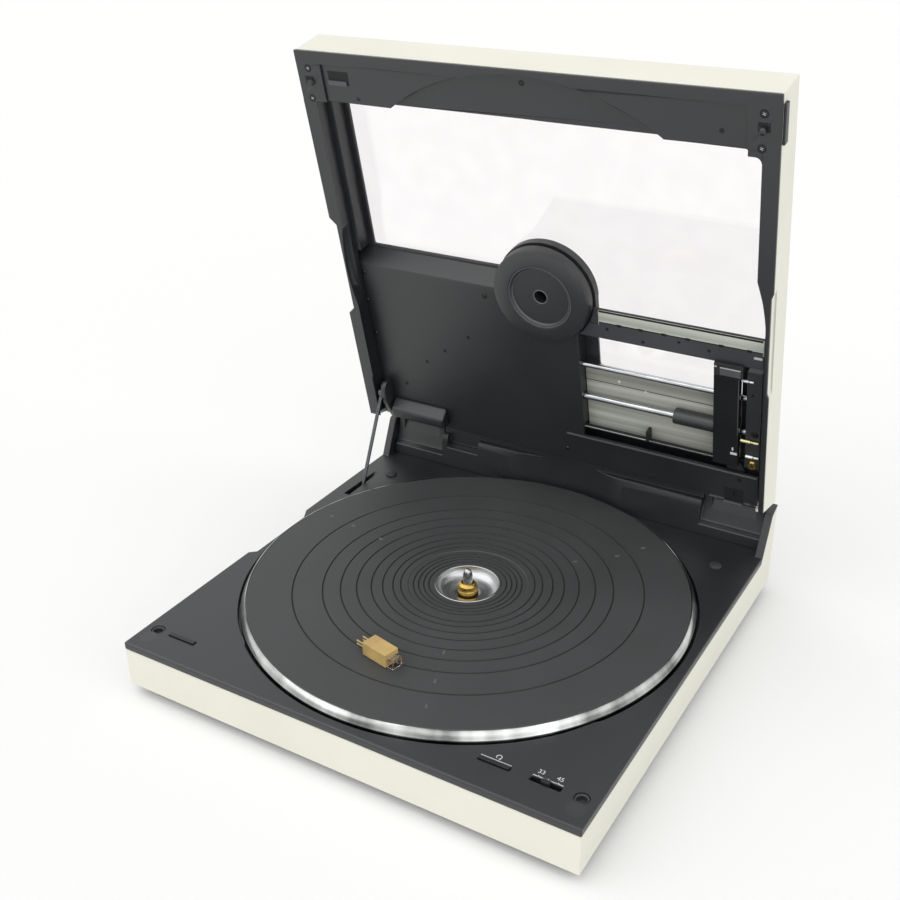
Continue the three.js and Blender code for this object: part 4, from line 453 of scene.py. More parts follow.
def wide_enough(edge, ease):
    """Whether an edge is sharp and long, between faces broad enough to be eased."""
    if len(edge.link_faces) != 2 or edge.calc_length() < EDGE_EASES * ease:
        return False
    if edge.calc_face_angle() < CORNER:
        return False
    narrowest = FACE_EASES * ease
    return all(face.calc_area() / edge.calc_length() > narrowest for face in edge.link_faces)


def rounded(mesh, edges, radius, steps):
    """Rounds edges off in a few steps."""
    bmesh.ops.bevel(
        mesh, geom=edges, offset=radius, offset_type="OFFSET", segments=steps, profile=0.5,
        affect="EDGES", material=-1, clamp_overlap=False,
    )


def casing(node, ease, circles=(), corners=(), place=Matrix.Identity(4), eased=wide_enough):
    """A copy of a frame part with its triangles joined to whole faces, its circles made round,
    its upright corners rounded to a radius, and the sharp edges that pass a test eased."""
    mesh = bmesh.new()
    mesh.from_mesh(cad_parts[node].data)
    bmesh.ops.remove_doubles(mesh, verts=mesh.verts, dist=JOIN)
    mesh.transform(place.inverted())
    bmesh.ops.dissolve_limit(mesh, angle_limit=FLAT, verts=mesh.verts, edges=mesh.edges)
    for x, y, radius in corners:
        upright = [
            edge for edge in mesh.edges
            if all((corner.co.xy - Vector((x, y))).length < CIRCLE_SLACK for corner in edge.verts)
        ]
        rounded(mesh, upright, radius, CORNER_STEPS)
    for x, y, radius, sides, cuts in circles:
        round_circle(mesh, Vector((x, y)), radius, sides, cuts)
    rounded(mesh, [edge for edge in mesh.edges if eased(edge, ease)], ease, EASE_STEPS)
    mesh.transform(place)
    return mesh


def dressed(name, mesh, finish, body, node):
    """A casing made a piece on its body, in place of its frame part, with even shading."""
    made = piece(name, mesh, finish)
    made.modifiers.new("even_faces", "WEIGHTED_NORMAL").keep_sharp = True
    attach(made, body)
    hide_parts(node)


cream_paint = sprayed("cream_paint", CREAM_COLOUR, CREAM_WORN)
dressed(
    "cabinet_band", casing("base_cabinet", CABINET_EASE), cream_paint, "root", "base_cabinet",
)


# Deck: one black moulding that closes the band, with the round well for the platter, a finger
# notch at its left side and slots for the controls. Its skin has a fine sparked grain.
BLACK_COLOUR = (30, 32, 35)
DECK_EASE = 0.0006
WELL_RADIUS = 0.1515
WELL_SIDES = 60
WELL_CUTS = 3
MOTOR_HOLE_RADIUS = 0.058
MOTOR_HOLE_CUTS = 1
CORNER_HOLE = Vector((0.148, -0.137))
CORNER_HOLE_RADIUS = 0.0046
CORNER_HOLE_SIDES = 20
CORNER_HOLE_CUTS = 2

deck_plastic = moulded(
    "deck_plastic", BLACK_COLOUR, rough=0.40, grain=0.0005, depth=0.00004, gloss=0.75
)
well_circle = (0, 0, WELL_RADIUS, WELL_SIDES, WELL_CUTS)
corner_hole = (CORNER_HOLE.y, CORNER_HOLE_RADIUS, CORNER_HOLE_SIDES, CORNER_HOLE_CUTS)
deck_circles = [
    well_circle,
    (0, 0, MOTOR_HOLE_RADIUS, WELL_SIDES, MOTOR_HOLE_CUTS),
    (CORNER_HOLE.x, *corner_hole),
    (-CORNER_HOLE.x, *corner_hole),
]
dressed(
    "deck_moulding", casing("deck_plate", DECK_EASE, deck_circles), deck_plastic, "root",
    "deck_plate",
)


# Hinge cover: the raised rear part of the deck, a separate black moulding over the hinge. The
# hinge pins lie in its end pockets, and the lid's steel arms turn on them.
COVER_EASE = 0.0007
PIN_COLOUR = (178, 180, 182)

dressed(
    "hinge_cover_moulding",
    casing("hinge_cover", COVER_EASE, [well_circle]),
    deck_plastic, "root", "hinge_cover",
)
bright_steel = sheet_metal("bright_steel", PIN_COLOUR, rough=0.22, metal=1.0)
for side in ("left", "right"):
    finish_node("hinge_pin_" + side, bright_steel)
    finish_node("lid_hinge_arm_" + side, dark_steel)


# Bumpers: two soft rubber domes pressed into the deck behind the platter, where they meet the
# lid as it closes.
BUMPER_NODES = ("deck_bumper_left", "deck_bumper_right")
BUMPER_STEPS = 48
BUMPER_ARC = 6
BUMPER_SIDE_SHARE = 0.35
BUMPER_COLOUR = (46, 47, 49)


def quarter_round(radius, low, high, steps):
    """The points (radius, height) of a dome's side, from its rim to just short of its middle."""
    turns = [step / steps * math.pi / 2 for step in range(steps)]
    return [(radius * math.cos(turn), low + (high - low) * math.sin(turn)) for turn in turns]


bumper_rubber = moulded("bumper_rubber", BUMPER_COLOUR, rough=0.62, depth=0.00002)
for bumper_node in BUMPER_NODES:
    bumper_low, bumper_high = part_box(bumper_node)
    bumper_radius = (bumper_high[0] - bumper_low[0]) / 2
    bumper_height = bumper_high[2] - bumper_low[2]
    bumper_side = bumper_height * BUMPER_SIDE_SHARE
    bumper_mesh = turned(
        [
            (0, 0), (bumper_radius, 0),
            *quarter_round(bumper_radius, bumper_side, bumper_height, BUMPER_ARC),
            (0, bumper_height),
        ],
        BUMPER_STEPS,
    )
    bumper_middle = middle(bumper_node)
    set_at(bumper_mesh, bumper_middle.x, bumper_middle.y, bumper_low[2])
    bumper = piece(bumper_node + "_dome", bumper_mesh, bumper_rubber)
    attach(bumper, "root")
    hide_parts(bumper_node)


# Platter: one aluminium casting. Its rim is turned and polished, a bevel and a thin lip run
# round the top, and a brushed bowl is sunk round the spindle. Lighter and darker patches round
# the rim are painted reflections.
PLATTER_RADIUS = 0.150
PLATTER_STEPS = 240
PLATTER_FOOT = 0.0355
RIM_STRAIGHT = 0.0400
RIM_TOP = 0.0445
RIM_BEVEL = 0.003
RIM_LIP = 0.0007
RIM_EASE = 0.00025
WEB_TOP = 0.0419
WEB_UNDER = 0.0355
BOSS_RADIUS = 0.014
BOSS_FOOT = 0.0300
BOWL_OUTER = 0.0220
BOWL_RIM_INNER = 0.0207
BOWL_FLOOR_RADIUS = 0.0125
BOWL_HOLE_RADIUS = 0.0087
BOWL_FLOOR = 0.0372
HUB_SEAT = 0.0342
SPINDLE_BORE = 0.00355
BOWL_CURVE = 7
RIM_COLOUR = (176, 178, 176)
REFLECTION_PATCH_SCALE = 5.0
REFLECTION_PATCH_SHARE = 0.8
REFLECTION_PATCH_SHADES = (0.4, 0.3)
TURNED_SHADES = (0.9, 1.06)
TURNED_SHEEN = 0.08
FINEST_SHEEN = 0.02
BOWL_COLOUR = (188, 189, 190)


def lathe_turned(name, colour, rough, groove, depth, reflection_patches=0.0):
    """Metal turned on a lathe about Z: fine rings in its sheen and relief, and a share of
    lighter and darker patches round the turn, painted as the reflections of polished metal."""
    finish, tree, shader, place = new_finish(name, 1.0)
    flat = add_node(tree, "VectorMath", {0: place, 1: (1.0, 1.0, 0.0)}, operation="MULTIPLY")
    reach = add_node(tree, "VectorMath", {0: flat.outputs[0]}, operation="LENGTH")
    rings = add_node(
        tree, "TexNoise", {"W": reach.outputs["Value"], "Scale": 1 / groove, "Detail": 4.0},
        noise_dimensions="1D",
    )
    side = add_node(tree, "VectorMath", {0: flat.outputs[0]}, operation="NORMALIZE")
    reflection_noise = add_node(
        tree, "TexNoise", {"Vector": side.outputs[0], "Scale": REFLECTION_PATCH_SCALE, "Detail": 3.0}
    )
    mixed = add_node(
        tree, "Mix", {"Factor": reflection_patches, "A": rings.outputs["Fac"], "B": reflection_noise.outputs["Fac"]}
    )
    dark = shade(colour, TURNED_SHADES[0] - REFLECTION_PATCH_SHADES[0] * reflection_patches)
    light = shade(colour, TURNED_SHADES[1] + REFLECTION_PATCH_SHADES[1] * reflection_patches)
    tint(tree, shader, mixed.outputs["Result"], dark, light)
    sheen = max(FINEST_SHEEN, rough - TURNED_SHEEN)
    spread(tree, shader, rings.outputs["Fac"], sheen, rough + TURNED_SHEEN)
    relief(tree, shader, rings.outputs["Fac"], depth)
    return finish


# The rim's lighter and darker patches are painted reflections.
polished_rim = lathe_turned(
    "polished_rim", RIM_COLOUR, rough=0.14, groove=0.0015, depth=0.000004, reflection_patches=REFLECTION_PATCH_SHARE
)
brushed_bowl = lathe_turned("brushed_bowl", BOWL_COLOUR, rough=0.3, groove=0.0004, depth=0.00002)
bowl_side = [
    (
        BOWL_FLOOR_RADIUS
        + (BOWL_RIM_INNER - BOWL_FLOOR_RADIUS) * math.sin(step / BOWL_CURVE * math.pi / 2),
        RIM_TOP - RIM_EASE
        - (RIM_TOP - RIM_EASE - BOWL_FLOOR) * math.cos(step / BOWL_CURVE * math.pi / 2),
    )
    for step in range(BOWL_CURVE + 1)
]
platter_mesh = turned(
    [
        (SPINDLE_BORE, BOSS_FOOT), (BOSS_RADIUS, BOSS_FOOT), (BOSS_RADIUS, WEB_UNDER),
        (PLATTER_RADIUS - 2 * RIM_BEVEL, WEB_UNDER), (PLATTER_RADIUS - RIM_EASE, PLATTER_FOOT),
        (PLATTER_RADIUS, PLATTER_FOOT + RIM_EASE), (PLATTER_RADIUS, RIM_STRAIGHT - RIM_EASE),
        (PLATTER_RADIUS - RIM_EASE, RIM_STRAIGHT + RIM_EASE),
        (PLATTER_RADIUS - RIM_BEVEL, RIM_TOP - RIM_EASE),
        (PLATTER_RADIUS - RIM_BEVEL - RIM_EASE, RIM_TOP),
        (PLATTER_RADIUS - RIM_BEVEL - RIM_LIP, RIM_TOP),
        (PLATTER_RADIUS - RIM_BEVEL - RIM_LIP, WEB_TOP), (BOWL_OUTER, WEB_TOP),
        (BOWL_OUTER, RIM_TOP - RIM_EASE), (BOWL_OUTER - RIM_EASE, RIM_TOP),
        (BOWL_RIM_INNER + RIM_EASE, RIM_TOP),
        *reversed(bowl_side),
        (BOWL_HOLE_RADIUS, BOWL_FLOOR), (BOWL_HOLE_RADIUS, HUB_SEAT), (SPINDLE_BORE, HUB_SEAT),
    ],
    PLATTER_STEPS, closed=True,
)
platter = piece("platter_casting", platter_mesh, polished_rim, brushed_bowl)
for face in platter.data.polygons:
    if Vector(face.center).xy.length < BOWL_OUTER + RIM_EASE:
        face.material_index = 1
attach(platter, "platter")
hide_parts("platter")


# Mat: a moulded rubber disc loose on the platter. Rings are pressed into it, ever closer
# towards the label, and three rows of small oval studs point outwards. The faces inside the
# rings are a darker rubber, painted as the shade in them.
MAT_RADIUS = 0.146
MAT_TOP = 0.0447
MAT_UNDER = 0.0422
MAT_BORE = 0.0223
MAT_EASE = 0.0004
LABEL_RADIUS = 0.040
LABEL_DROP = 0.0005
GROOVE_HALF = 0.00055
GROOVE_DEPTH = 0.0006
GROOVE_RADII = (0.1159, 0.0960, 0.0842, 0.0736, 0.0639, 0.0564, 0.0496, 0.0445)
LABEL_GROOVE_FIRST = 0.0258
LABEL_GROOVE_STEP = 0.0034
LABEL_GROOVES = 4
STUD_PLACES = (
    (0.0769, -70.7), (0.1048, -70.4), (0.1276, -70.5), (0.0776, 49.3), (0.1077, 47.7),
    (0.1289, 49.3), (0.0823, 167.9), (0.1100, 168.4), (0.1312, 168.8),
)
STUD_LENGTH = 0.0021
STUD_WIDTH = 0.0011
STUD_RISE = 0.0005
STUD_SIDES = 24
MAT_COLOUR = (56, 57, 58)
GROOVE_SHADE_COLOUR = (32, 32, 33)
STUD_COLOUR = (84, 85, 86)

mat_rubber = moulded(
    "mat_rubber", MAT_COLOUR, rough=0.60, grain=0.0005, depth=0.00003, cloud=0.05,
    contrast=0.05, gloss=0.6,
)


def pressed_ring(radius, level):
    """The three outline points of a ring pressed into the mat."""
    return [
        (radius + GROOVE_HALF, level), (radius, level - GROOVE_DEPTH),
        (radius - GROOVE_HALF, level),
    ]


label_level = MAT_TOP - LABEL_DROP
label_grooves = [LABEL_GROOVE_FIRST + turn * LABEL_GROOVE_STEP for turn in range(LABEL_GROOVES)]
mat_outline = [
    (MAT_BORE, MAT_UNDER), (MAT_RADIUS, MAT_UNDER), (MAT_RADIUS, MAT_TOP - MAT_EASE),
    (MAT_RADIUS - MAT_EASE, MAT_TOP),
]
for groove_radius in GROOVE_RADII:
    mat_outline += pressed_ring(groove_radius, MAT_TOP)
mat_outline += [(LABEL_RADIUS, MAT_TOP), (LABEL_RADIUS - LABEL_DROP, label_level)]
for groove_radius in reversed(label_grooves):
    mat_outline += pressed_ring(groove_radius, label_level)
mat_outline += [(MAT_BORE, label_level)]
# A darker rubber painted as the shade inside the pressed rings.
groove_shade_rubber = moulded("groove_shade_rubber", GROOVE_SHADE_COLOUR, rough=0.8, grain=0.0005)
mat = piece("mat_disc", turned(mat_outline, PLATTER_STEPS, closed=True), mat_rubber, groove_shade_rubber)
all_grooves = (*GROOVE_RADII, *label_grooves)
for face in mat.data.polygons:
    face_reach = Vector(face.center).xy.length
    if any(abs(face_reach - reach) < GROOVE_HALF for reach in all_grooves):
        face.material_index = 1
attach(mat, "platter")
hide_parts("platter_mat")

stud_rubber = moulded("stud_rubber", STUD_COLOUR, rough=0.5, grain=0.0005)
studs_mesh = bmesh.new()
for stud_radius, stud_angle in STUD_PLACES:
    stud_turn = Matrix.Rotation(math.radians(stud_angle), 4, "Z")
    stud_matrix = (
        stud_turn
        @ Matrix.Translation((stud_radius, 0, MAT_TOP))
        @ Matrix.Diagonal((STUD_LENGTH, STUD_WIDTH, STUD_RISE, 1.0))
    )
    bmesh.ops.create_uvsphere(
        studs_mesh, u_segments=STUD_SIDES, v_segments=STUD_SIDES // 2, radius=1.0,
        matrix=stud_matrix,
    )
studs = piece("mat_studs", studs_mesh, stud_rubber)
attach(studs, "platter")


# Spindle and hub: a ground steel pin with a domed tip, held by a turned brass hub that stands
# in the bowl.
SPINDLE_RADIUS = 0.00325
SPINDLE_STEPS = 64
SPINDLE_TAPER = 0.0042
SPINDLE_NECK = 0.0026
SPINDLE_DOME = 6
BRASS_COLOUR = (186, 156, 82)
HUB_RADIUS = 0.00695
HUB_NECK = 0.0042
HUB_SHOULDER = 0.0016
HUB_WAIST = 0.0048
HUB_WAIST_TOP = 0.00416
HUB_STEP = 0.0004
HUB_TIP_WIDTH = 0.0006
HUB_TIP_EASE = 0.0002

spindle_low, spindle_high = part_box("spindle")
spindle_top = spindle_high[2]
spindle_mesh = turned(
    [
        (0, spindle_low[2]), (SPINDLE_RADIUS, spindle_low[2]),
        (SPINDLE_RADIUS, spindle_top - SPINDLE_TAPER),
        *quarter_round(SPINDLE_NECK, spindle_top - SPINDLE_NECK, spindle_top, SPINDLE_DOME),
        (0, spindle_top),
    ],
    SPINDLE_STEPS,
)
ground_steel = lathe_turned("ground_steel", PIN_COLOUR, rough=0.16, groove=0.0008, depth=0.000003)
spindle = piece("spindle_pin", spindle_mesh, ground_steel)
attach(spindle, "platter")
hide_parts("spindle")

hub_low, hub_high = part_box("spindle_hub")
hub_top = hub_high[2]
hub_mesh = turned(
    [
        (SPINDLE_BORE, hub_low[2]), (HUB_RADIUS, hub_low[2]), (HUB_RADIUS, hub_top - HUB_WAIST),
        (HUB_RADIUS - HUB_STEP, hub_top - HUB_WAIST_TOP),
        (HUB_RADIUS - 2 * HUB_STEP, hub_top - HUB_SHOULDER),
        (HUB_NECK + HUB_TIP_WIDTH, hub_top - HUB_TIP_EASE), (HUB_NECK, hub_top),
        (SPINDLE_BORE, hub_top),
    ],
    SPINDLE_STEPS, closed=True,
)
turned_brass = lathe_turned("turned_brass", BRASS_COLOUR, rough=0.24, groove=0.0005, depth=0.00001)
hub = piece("hub_collar", hub_mesh, turned_brass)
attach(hub, "platter")
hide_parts("spindle_hub")


# Controls: a long sprung power button, a repeat button and a two speed slider stand in slots
# along the front of the deck. White lines and plain numbers are printed beside them.
BUTTON_EASE = 0.0003
BUTTON_COLOUR = (26, 27, 29)
POWER_COLOUR = (30, 31, 33)
DECK_TOP = 0.039
PRINT_COLOUR = (226, 228, 228)
PRINT_THICK = 0.00006
CONTROL_LINE = -0.1364
REPEAT_MIDDLE = 0.0954
REPEAT_HALF = 0.0095
SELECTOR_MIDDLE = 0.1266
SELECTOR_HALF = 0.009
LINE_WIDTH = 0.0005
REPEAT_LINE_GAP = 0.0021
SELECTOR_LINE_GAP = 0.0024
TICK_LENGTH = 0.0012
TICK_SHARE = 0.66
SYMBOL_RADIUS = 0.0015
SYMBOL_PLACE = Vector((0.0957, -0.1311))
SYMBOL_START = math.radians(-50)
SYMBOL_SWEEP = math.radians(280)
SYMBOL_STEPS = 20
SYMBOL_TAIL_SHARES = (0.2, 1.1)
SPEED_TEXT_SIZE = 0.0042
SPEED_TEXT_LINE = -0.1312
SPEED_TEXT_SHARE = 0.62
SPEED_TEXT_CURVES = 3
PRINT_WEAR_SCALE = 900.0
PRINT_WEAR_SHADE = 0.88
PRINT_SHEEN = (0.5, 0.65)

button_plastic = moulded("button_plastic", BUTTON_COLOUR, rough=0.4)
power_plastic = moulded("power_plastic", POWER_COLOUR, rough=0.45)
for control in ("power_button", "repeat_button", "speed_selector"):
    dressed(
        control + "_cap", casing(control, BUTTON_EASE),
        power_plastic if control == "power_button" else button_plastic, control, control,
    )

print_finish, print_tree, print_shader, print_place = new_finish("white_print")
print_wear = add_node(
    print_tree, "TexNoise", {"Vector": print_place, "Scale": PRINT_WEAR_SCALE}
)
print_worn = shade(PRINT_COLOUR, PRINT_WEAR_SHADE)
tint(print_tree, print_shader, print_wear.outputs["Fac"], print_worn, PRINT_COLOUR)
spread(print_tree, print_shader, print_wear.outputs["Fac"], *PRINT_SHEEN)


def bar(mesh, low, high):
    """Adds an upright box between two corners."""
    low, high = Vector(low), Vector(high)
    made = bmesh.ops.create_cube(mesh, size=1.0)
    bmesh.ops.scale(mesh, verts=made["verts"], vec=high - low)
    bmesh.ops.translate(mesh, verts=made["verts"], vec=(low + high) / 2)
    return made["verts"]


def printed(name, mesh):
    """A thin raised print on the deck."""
    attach(piece(name, mesh, print_finish), "root")


lines_mesh = bmesh.new()
for line_middle, line_half, line_gap in (
    (REPEAT_MIDDLE, REPEAT_HALF, REPEAT_LINE_GAP),
    (SELECTOR_MIDDLE, SELECTOR_HALF, SELECTOR_LINE_GAP),
):
    line_y = CONTROL_LINE + line_gap
    bar(
        lines_mesh, (line_middle - line_half, line_y, DECK_TOP),
        (line_middle + line_half, line_y + LINE_WIDTH, DECK_TOP + PRINT_THICK),
    )
for tick in (-1, 0, 1):
    tick_x = SELECTOR_MIDDLE + tick * SELECTOR_HALF * TICK_SHARE
    tick_y = CONTROL_LINE + SELECTOR_LINE_GAP
    bar(
        lines_mesh, (tick_x - LINE_WIDTH / 2, tick_y, DECK_TOP),
        (tick_x + LINE_WIDTH / 2, tick_y + TICK_LENGTH, DECK_TOP + PRINT_THICK),
    )
printed("control_lines", lines_mesh)

symbol_mesh = bmesh.new()
symbol_near = SYMBOL_RADIUS - LINE_WIDTH / 2
symbol_far = SYMBOL_RADIUS + LINE_WIDTH / 2
symbol_face = symbol_mesh.faces.new([
    symbol_mesh.verts.new((reach, 0, height))
    for reach, height in (
        (symbol_near, 0), (symbol_far, 0), (symbol_far, PRINT_THICK), (symbol_near, PRINT_THICK),
    )
])
bmesh.ops.rotate(
    symbol_mesh, cent=(0, 0, 0), matrix=Matrix.Rotation(SYMBOL_START, 3, "Z"),
    verts=symbol_mesh.verts,
)
bmesh.ops.spin(
    symbol_mesh, geom=[symbol_face], cent=(0, 0, 0), axis=(0, 0, 1), angle=SYMBOL_SWEEP,
    steps=SYMBOL_STEPS, use_merge=False,
)
tail_low, tail_high = (SYMBOL_RADIUS * share for share in SYMBOL_TAIL_SHARES)
bar(
    symbol_mesh, (tail_low, -tail_high, 0), (tail_high, -tail_high + LINE_WIDTH, PRINT_THICK)
)
bmesh.ops.recalc_face_normals(symbol_mesh, faces=symbol_mesh.faces)
set_at(symbol_mesh, SYMBOL_PLACE.x, SYMBOL_PLACE.y, DECK_TOP)
printed("repeat_symbol", symbol_mesh)

for speed, speed_side in (("33", -1), ("45", 1)):
    speed_curve = bpy.data.curves.new("speed_" + speed, "FONT")
    speed_curve.body = speed
    speed_curve.size = SPEED_TEXT_SIZE
    speed_curve.align_x = "CENTER"
    speed_curve.extrude = PRINT_THICK / 2
    speed_curve.resolution_u = SPEED_TEXT_CURVES
    speed_text = bpy.data.objects.new("speed_text", speed_curve)
    scene.collection.objects.link(speed_text)
    bpy.context.view_layer.update()
    speed_data = bpy.data.meshes.new_from_object(
        speed_text.evaluated_get(bpy.context.evaluated_depsgraph_get())
    )
    bpy.data.objects.remove(speed_text)
    speed_mesh = bmesh.new()
    speed_mesh.from_mesh(speed_data)
    bmesh.ops.remove_doubles(speed_mesh, verts=speed_mesh.verts, dist=MERGE)
    speed_x = SELECTOR_MIDDLE + speed_side * SELECTOR_HALF * SPEED_TEXT_SHARE
    set_at(speed_mesh, speed_x, SPEED_TEXT_LINE, DECK_TOP + PRINT_THICK / 2)
    printed("speed_mark_" + speed, speed_mesh)


# Corner sockets: in each front hole of the deck sits a turned cup that takes the lid's guide
# pin, and a shallow round pad is moulded beside it.
COLLAR_BORE = 0.0030
COLLAR_TOP = DECK_TOP - 0.0003
COLLAR_FLOOR = 0.0358
COLLAR_DEEP = 0.0350
COLLAR_SLACK = 0.0002
COLLAR_EASE = 0.0004
COLLAR_LEAD = 0.0005
COLLAR_STEPS = 40
COLLAR_COLOUR = (50, 52, 55)
PAD_COLOUR = (40, 42, 45)
PAD_RADIUS = 0.0055
PAD_PLACE = Vector((0.1483, -0.1455))
PAD_RISE = 0.00005
PAD_STEPS = 48

collar_plastic = moulded("collar_plastic", COLLAR_COLOUR, rough=0.45)
pad_plastic = moulded("pad_plastic", PAD_COLOUR, rough=0.4, gloss=0.75)
collar_radius = CORNER_HOLE_RADIUS - COLLAR_SLACK
for side_name, side in (("left", -1), ("right", 1)):
    collar_mesh = turned(
        [
            (0, COLLAR_DEEP), (collar_radius, COLLAR_DEEP),
            (collar_radius, COLLAR_TOP - COLLAR_EASE), (collar_radius - COLLAR_EASE, COLLAR_TOP),
            (COLLAR_BORE + COLLAR_LEAD, COLLAR_TOP), (COLLAR_BORE, COLLAR_TOP - COLLAR_LEAD),
            (COLLAR_BORE, COLLAR_FLOOR), (0, COLLAR_FLOOR),
        ],
        COLLAR_STEPS,
    )
    set_at(collar_mesh, side * CORNER_HOLE.x, CORNER_HOLE.y, 0)
    collar = piece("corner_collar_" + side_name, collar_mesh, collar_plastic)
    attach(collar, "root")
    pad_mesh = turned(
        [(0, 0), (PAD_RADIUS, 0), (PAD_RADIUS - PAD_RISE, PAD_RISE), (0, PAD_RISE)], PAD_STEPS
    )
    set_at(pad_mesh, side * PAD_PLACE.x, PAD_PLACE.y, DECK_TOP)
    pad = piece("corner_pad_" + side_name, pad_mesh, pad_plastic)
    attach(pad, "root")


# Cartridge: a small beige moulding with four gilt pins, lying loose on the mat, and the clear
# guard over its stylus.
CARTRIDGE_EASE = 0.0004
GOLD_COLOUR = (198, 169, 108)
CLEAR_COLOUR = (247, 243, 240)
ACRYLIC_INDEX = 1.49
HAZE_SCALE = 60.0
HAZE_SHADE = 0.985

cartridge_shell = moulded("cartridge_shell", GOLD_COLOUR, rough=0.42, grain=0.0003, cloud=0.01)


def clear_plastic(name, colour, rough):
    """Clear moulded plastic with a faint, slightly uneven tint."""
    finish, tree, shader, place = new_finish(name, Transmission_Weight=1.0, IOR=ACRYLIC_INDEX)
    haze = add_node(tree, "TexNoise", {"Vector": place, "Scale": HAZE_SCALE, "Detail": 6.0})
    tint(tree, shader, haze.outputs["Fac"], shade(colour, HAZE_SHADE), colour)
    shader.inputs["Roughness"].default_value = rough
    return finish


guard_clear = clear_plastic("guard_clear", CLEAR_COLOUR, rough=0.06)
dressed(
    "cartridge_body", casing("cartridge", CARTRIDGE_EASE), cartridge_shell, "root", "cartridge",
)
dressed(
    "stylus_cover", casing("stylus_guard", CARTRIDGE_EASE / 2), guard_clear, "root",
    "stylus_guard",
)


# Rear fittings: the mains inlet is a deep black cup with two pins, and the signal sockets are
# two phono collars sunk in a plate.
REAR_EASE = 0.0004
REAR_COLOUR = (30, 31, 33)

rear_plastic = moulded("rear_plastic", REAR_COLOUR, rough=0.42)
for rear_node in ("mains_inlet", "signal_sockets"):
    dressed(
        rear_node + "_moulding", casing(rear_node, REAR_EASE), rear_plastic, "root", rear_node,
    )


# Lid: a cream moulded shell that stands open on its hinge. Its pieces are placed by x, by a
# place counted forward from the rear of its rim, and by a depth counted from the rim inwards.
HINGE = Vector((0, 0.1536, 0.0693))
OPEN_ANGLE = math.radians(76.83)
RIM_REAR = Vector((0, 0.1335, 0.0393))
LID_EASE = 0.0009
LID_TOP_EDGE = 0.020
BOSS_SIDES = 24
CROSS_TURN = 0.5

lid_frame = (
    Matrix.Translation(HINGE)
    @ Matrix.Rotation(-OPEN_ANGLE, 4, "X")
    @ Matrix.Translation(RIM_REAR - HINGE)
    @ Matrix.Rotation(math.pi, 4, "X")
)


def outer_edge(edge, ease):
    """Whether an edge lies round the lid's top or runs up one of its corners."""
    heights = [corner.co.z for corner in edge.verts]
    at_top = max(heights) < -LID_TOP_EDGE
    upright = max(heights) - min(heights) > LID_TOP_EDGE
    return wide_enough(edge, ease) and (at_top or upright)


def in_lid(mesh, corners, x, place, depth):
    """Sets corners that were made round the origin at a place in the lid."""
    bmesh.ops.transform(
        mesh, matrix=lid_frame @ Matrix.Translation((x, place, -depth)), verts=corners
    )


def lid_bar(mesh, low, high):
    """Adds a box between two corners (x, place, depth) in the lid."""
    corners = bar(mesh, (low[0], low[1], -high[2]), (high[0], high[1], -low[2]))
    bmesh.ops.transform(mesh, matrix=lid_frame, verts=corners)


def lid_disc(mesh, x, place, depth, radius, rise, taper=1.0, sides=BOSS_SIDES):
    """Adds a round boss that rises from a face in the lid, narrower at its top by a share."""
    made = bmesh.ops.create_cone(
        mesh, cap_ends=True, segments=sides, radius1=radius, radius2=radius * taper, depth=rise
    )
    in_lid(mesh, made["verts"], x, place, depth - rise / 2)


def lid_cross(mesh, x, place, depth, size, width, rise):
    """Adds the two crossing bars of a screw's recess."""
    for turn in (CROSS_TURN, CROSS_TURN + math.pi / 2):
        corners = bar(mesh, (-size, -width / 2, 0), (size, width / 2, rise))
        bmesh.ops.rotate(mesh, cent=(0, 0, 0), matrix=Matrix.Rotation(turn, 3, "Z"), verts=corners)
        in_lid(mesh, corners, x, place, depth)


def fitted(name, mesh, finish, body):
    """Makes a mesh a small visible piece on a body."""
    made = piece(name, mesh, finish)
    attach(made, body)


dressed(
    "lid_casing", casing("lid_shell", LID_EASE, place=lid_frame, eased=outer_edge), cream_paint,
    "lid", "lid_shell",
)


# Inner frame: the black moulding that lines the lid. It holds the rim, the ledges, the bar
# across the front with the arc for the record, the filled corner of that bar, and the edge
# of the window.
FRAME_EASE = 0.0006
RECORD_ARC_RADIUS = 0.154
PLATTER_ARC_RADIUS = 0.1508
AXIS_PLACE = 0.1335
CATCH_SLOT_SIDE = 0.1530
CATCH_SLOT_NEAR = 0.2605
CATCH_SLOT_FAR = 0.2860
SKIN = 0.00005
BAR_CORNER = (0.1475, 0.2544)
BAR_CORNER_RADIUS = 0.004
BAR_STEP = (0.1396, 0.2582)
BAR_CORNER_STEPS = 8
BAR_CORNER_NEAR = 0.0003
BAR_CORNER_FAR = 0.024
WINDOW_CORNERS = (
    (-0.140, 0.252, 0.0015), (0.147, 0.252, 0.005), (0.147, 0.076, 0.002), (0.033, 0.076, 0.002),
    (0.033, 0.142, 0.002), (-0.140, 0.142, 0.0015),
)


def standing_out(edge, ease):
    """Whether an edge is wide enough to be eased, stands out, and isn't on a catch's slot."""
    half_way = (edge.verts[0].co + edge.verts[1].co) / 2
    if abs(half_way.x) > CATCH_SLOT_SIDE and CATCH_SLOT_NEAR < half_way.y < CATCH_SLOT_FAR:
        return False
    return wide_enough(edge, ease) and edge.calc_face_angle_signed() > 0


def grow(mesh, outline, way):
    """Makes a flat outline of corners a closed solid by giving it thickness along a way."""
    face = mesh.faces.new([mesh.verts.new(corner) for corner in outline])
    grown = bmesh.ops.extrude_face_region(mesh, geom=[face], use_keep_orig=True)
    far_corners = [corner for corner in grown["geom"] if isinstance(corner, bmesh.types.BMVert)]
    bmesh.ops.translate(mesh, verts=far_corners, vec=way)
    bmesh.ops.recalc_face_normals(mesh, faces=mesh.faces)


frame_circles = [
    (0, AXIS_PLACE, RECORD_ARC_RADIUS, WELL_SIDES, WELL_CUTS),
    (0, AXIS_PLACE, PLATTER_ARC_RADIUS, WELL_SIDES, WELL_CUTS),
]
dressed(
    "lid_frame_moulding",
    casing(
        "lid_inner_frame", FRAME_EASE, frame_circles, WINDOW_CORNERS, lid_frame, standing_out
    ),
    deck_plastic, "lid", "lid_inner_frame",
)

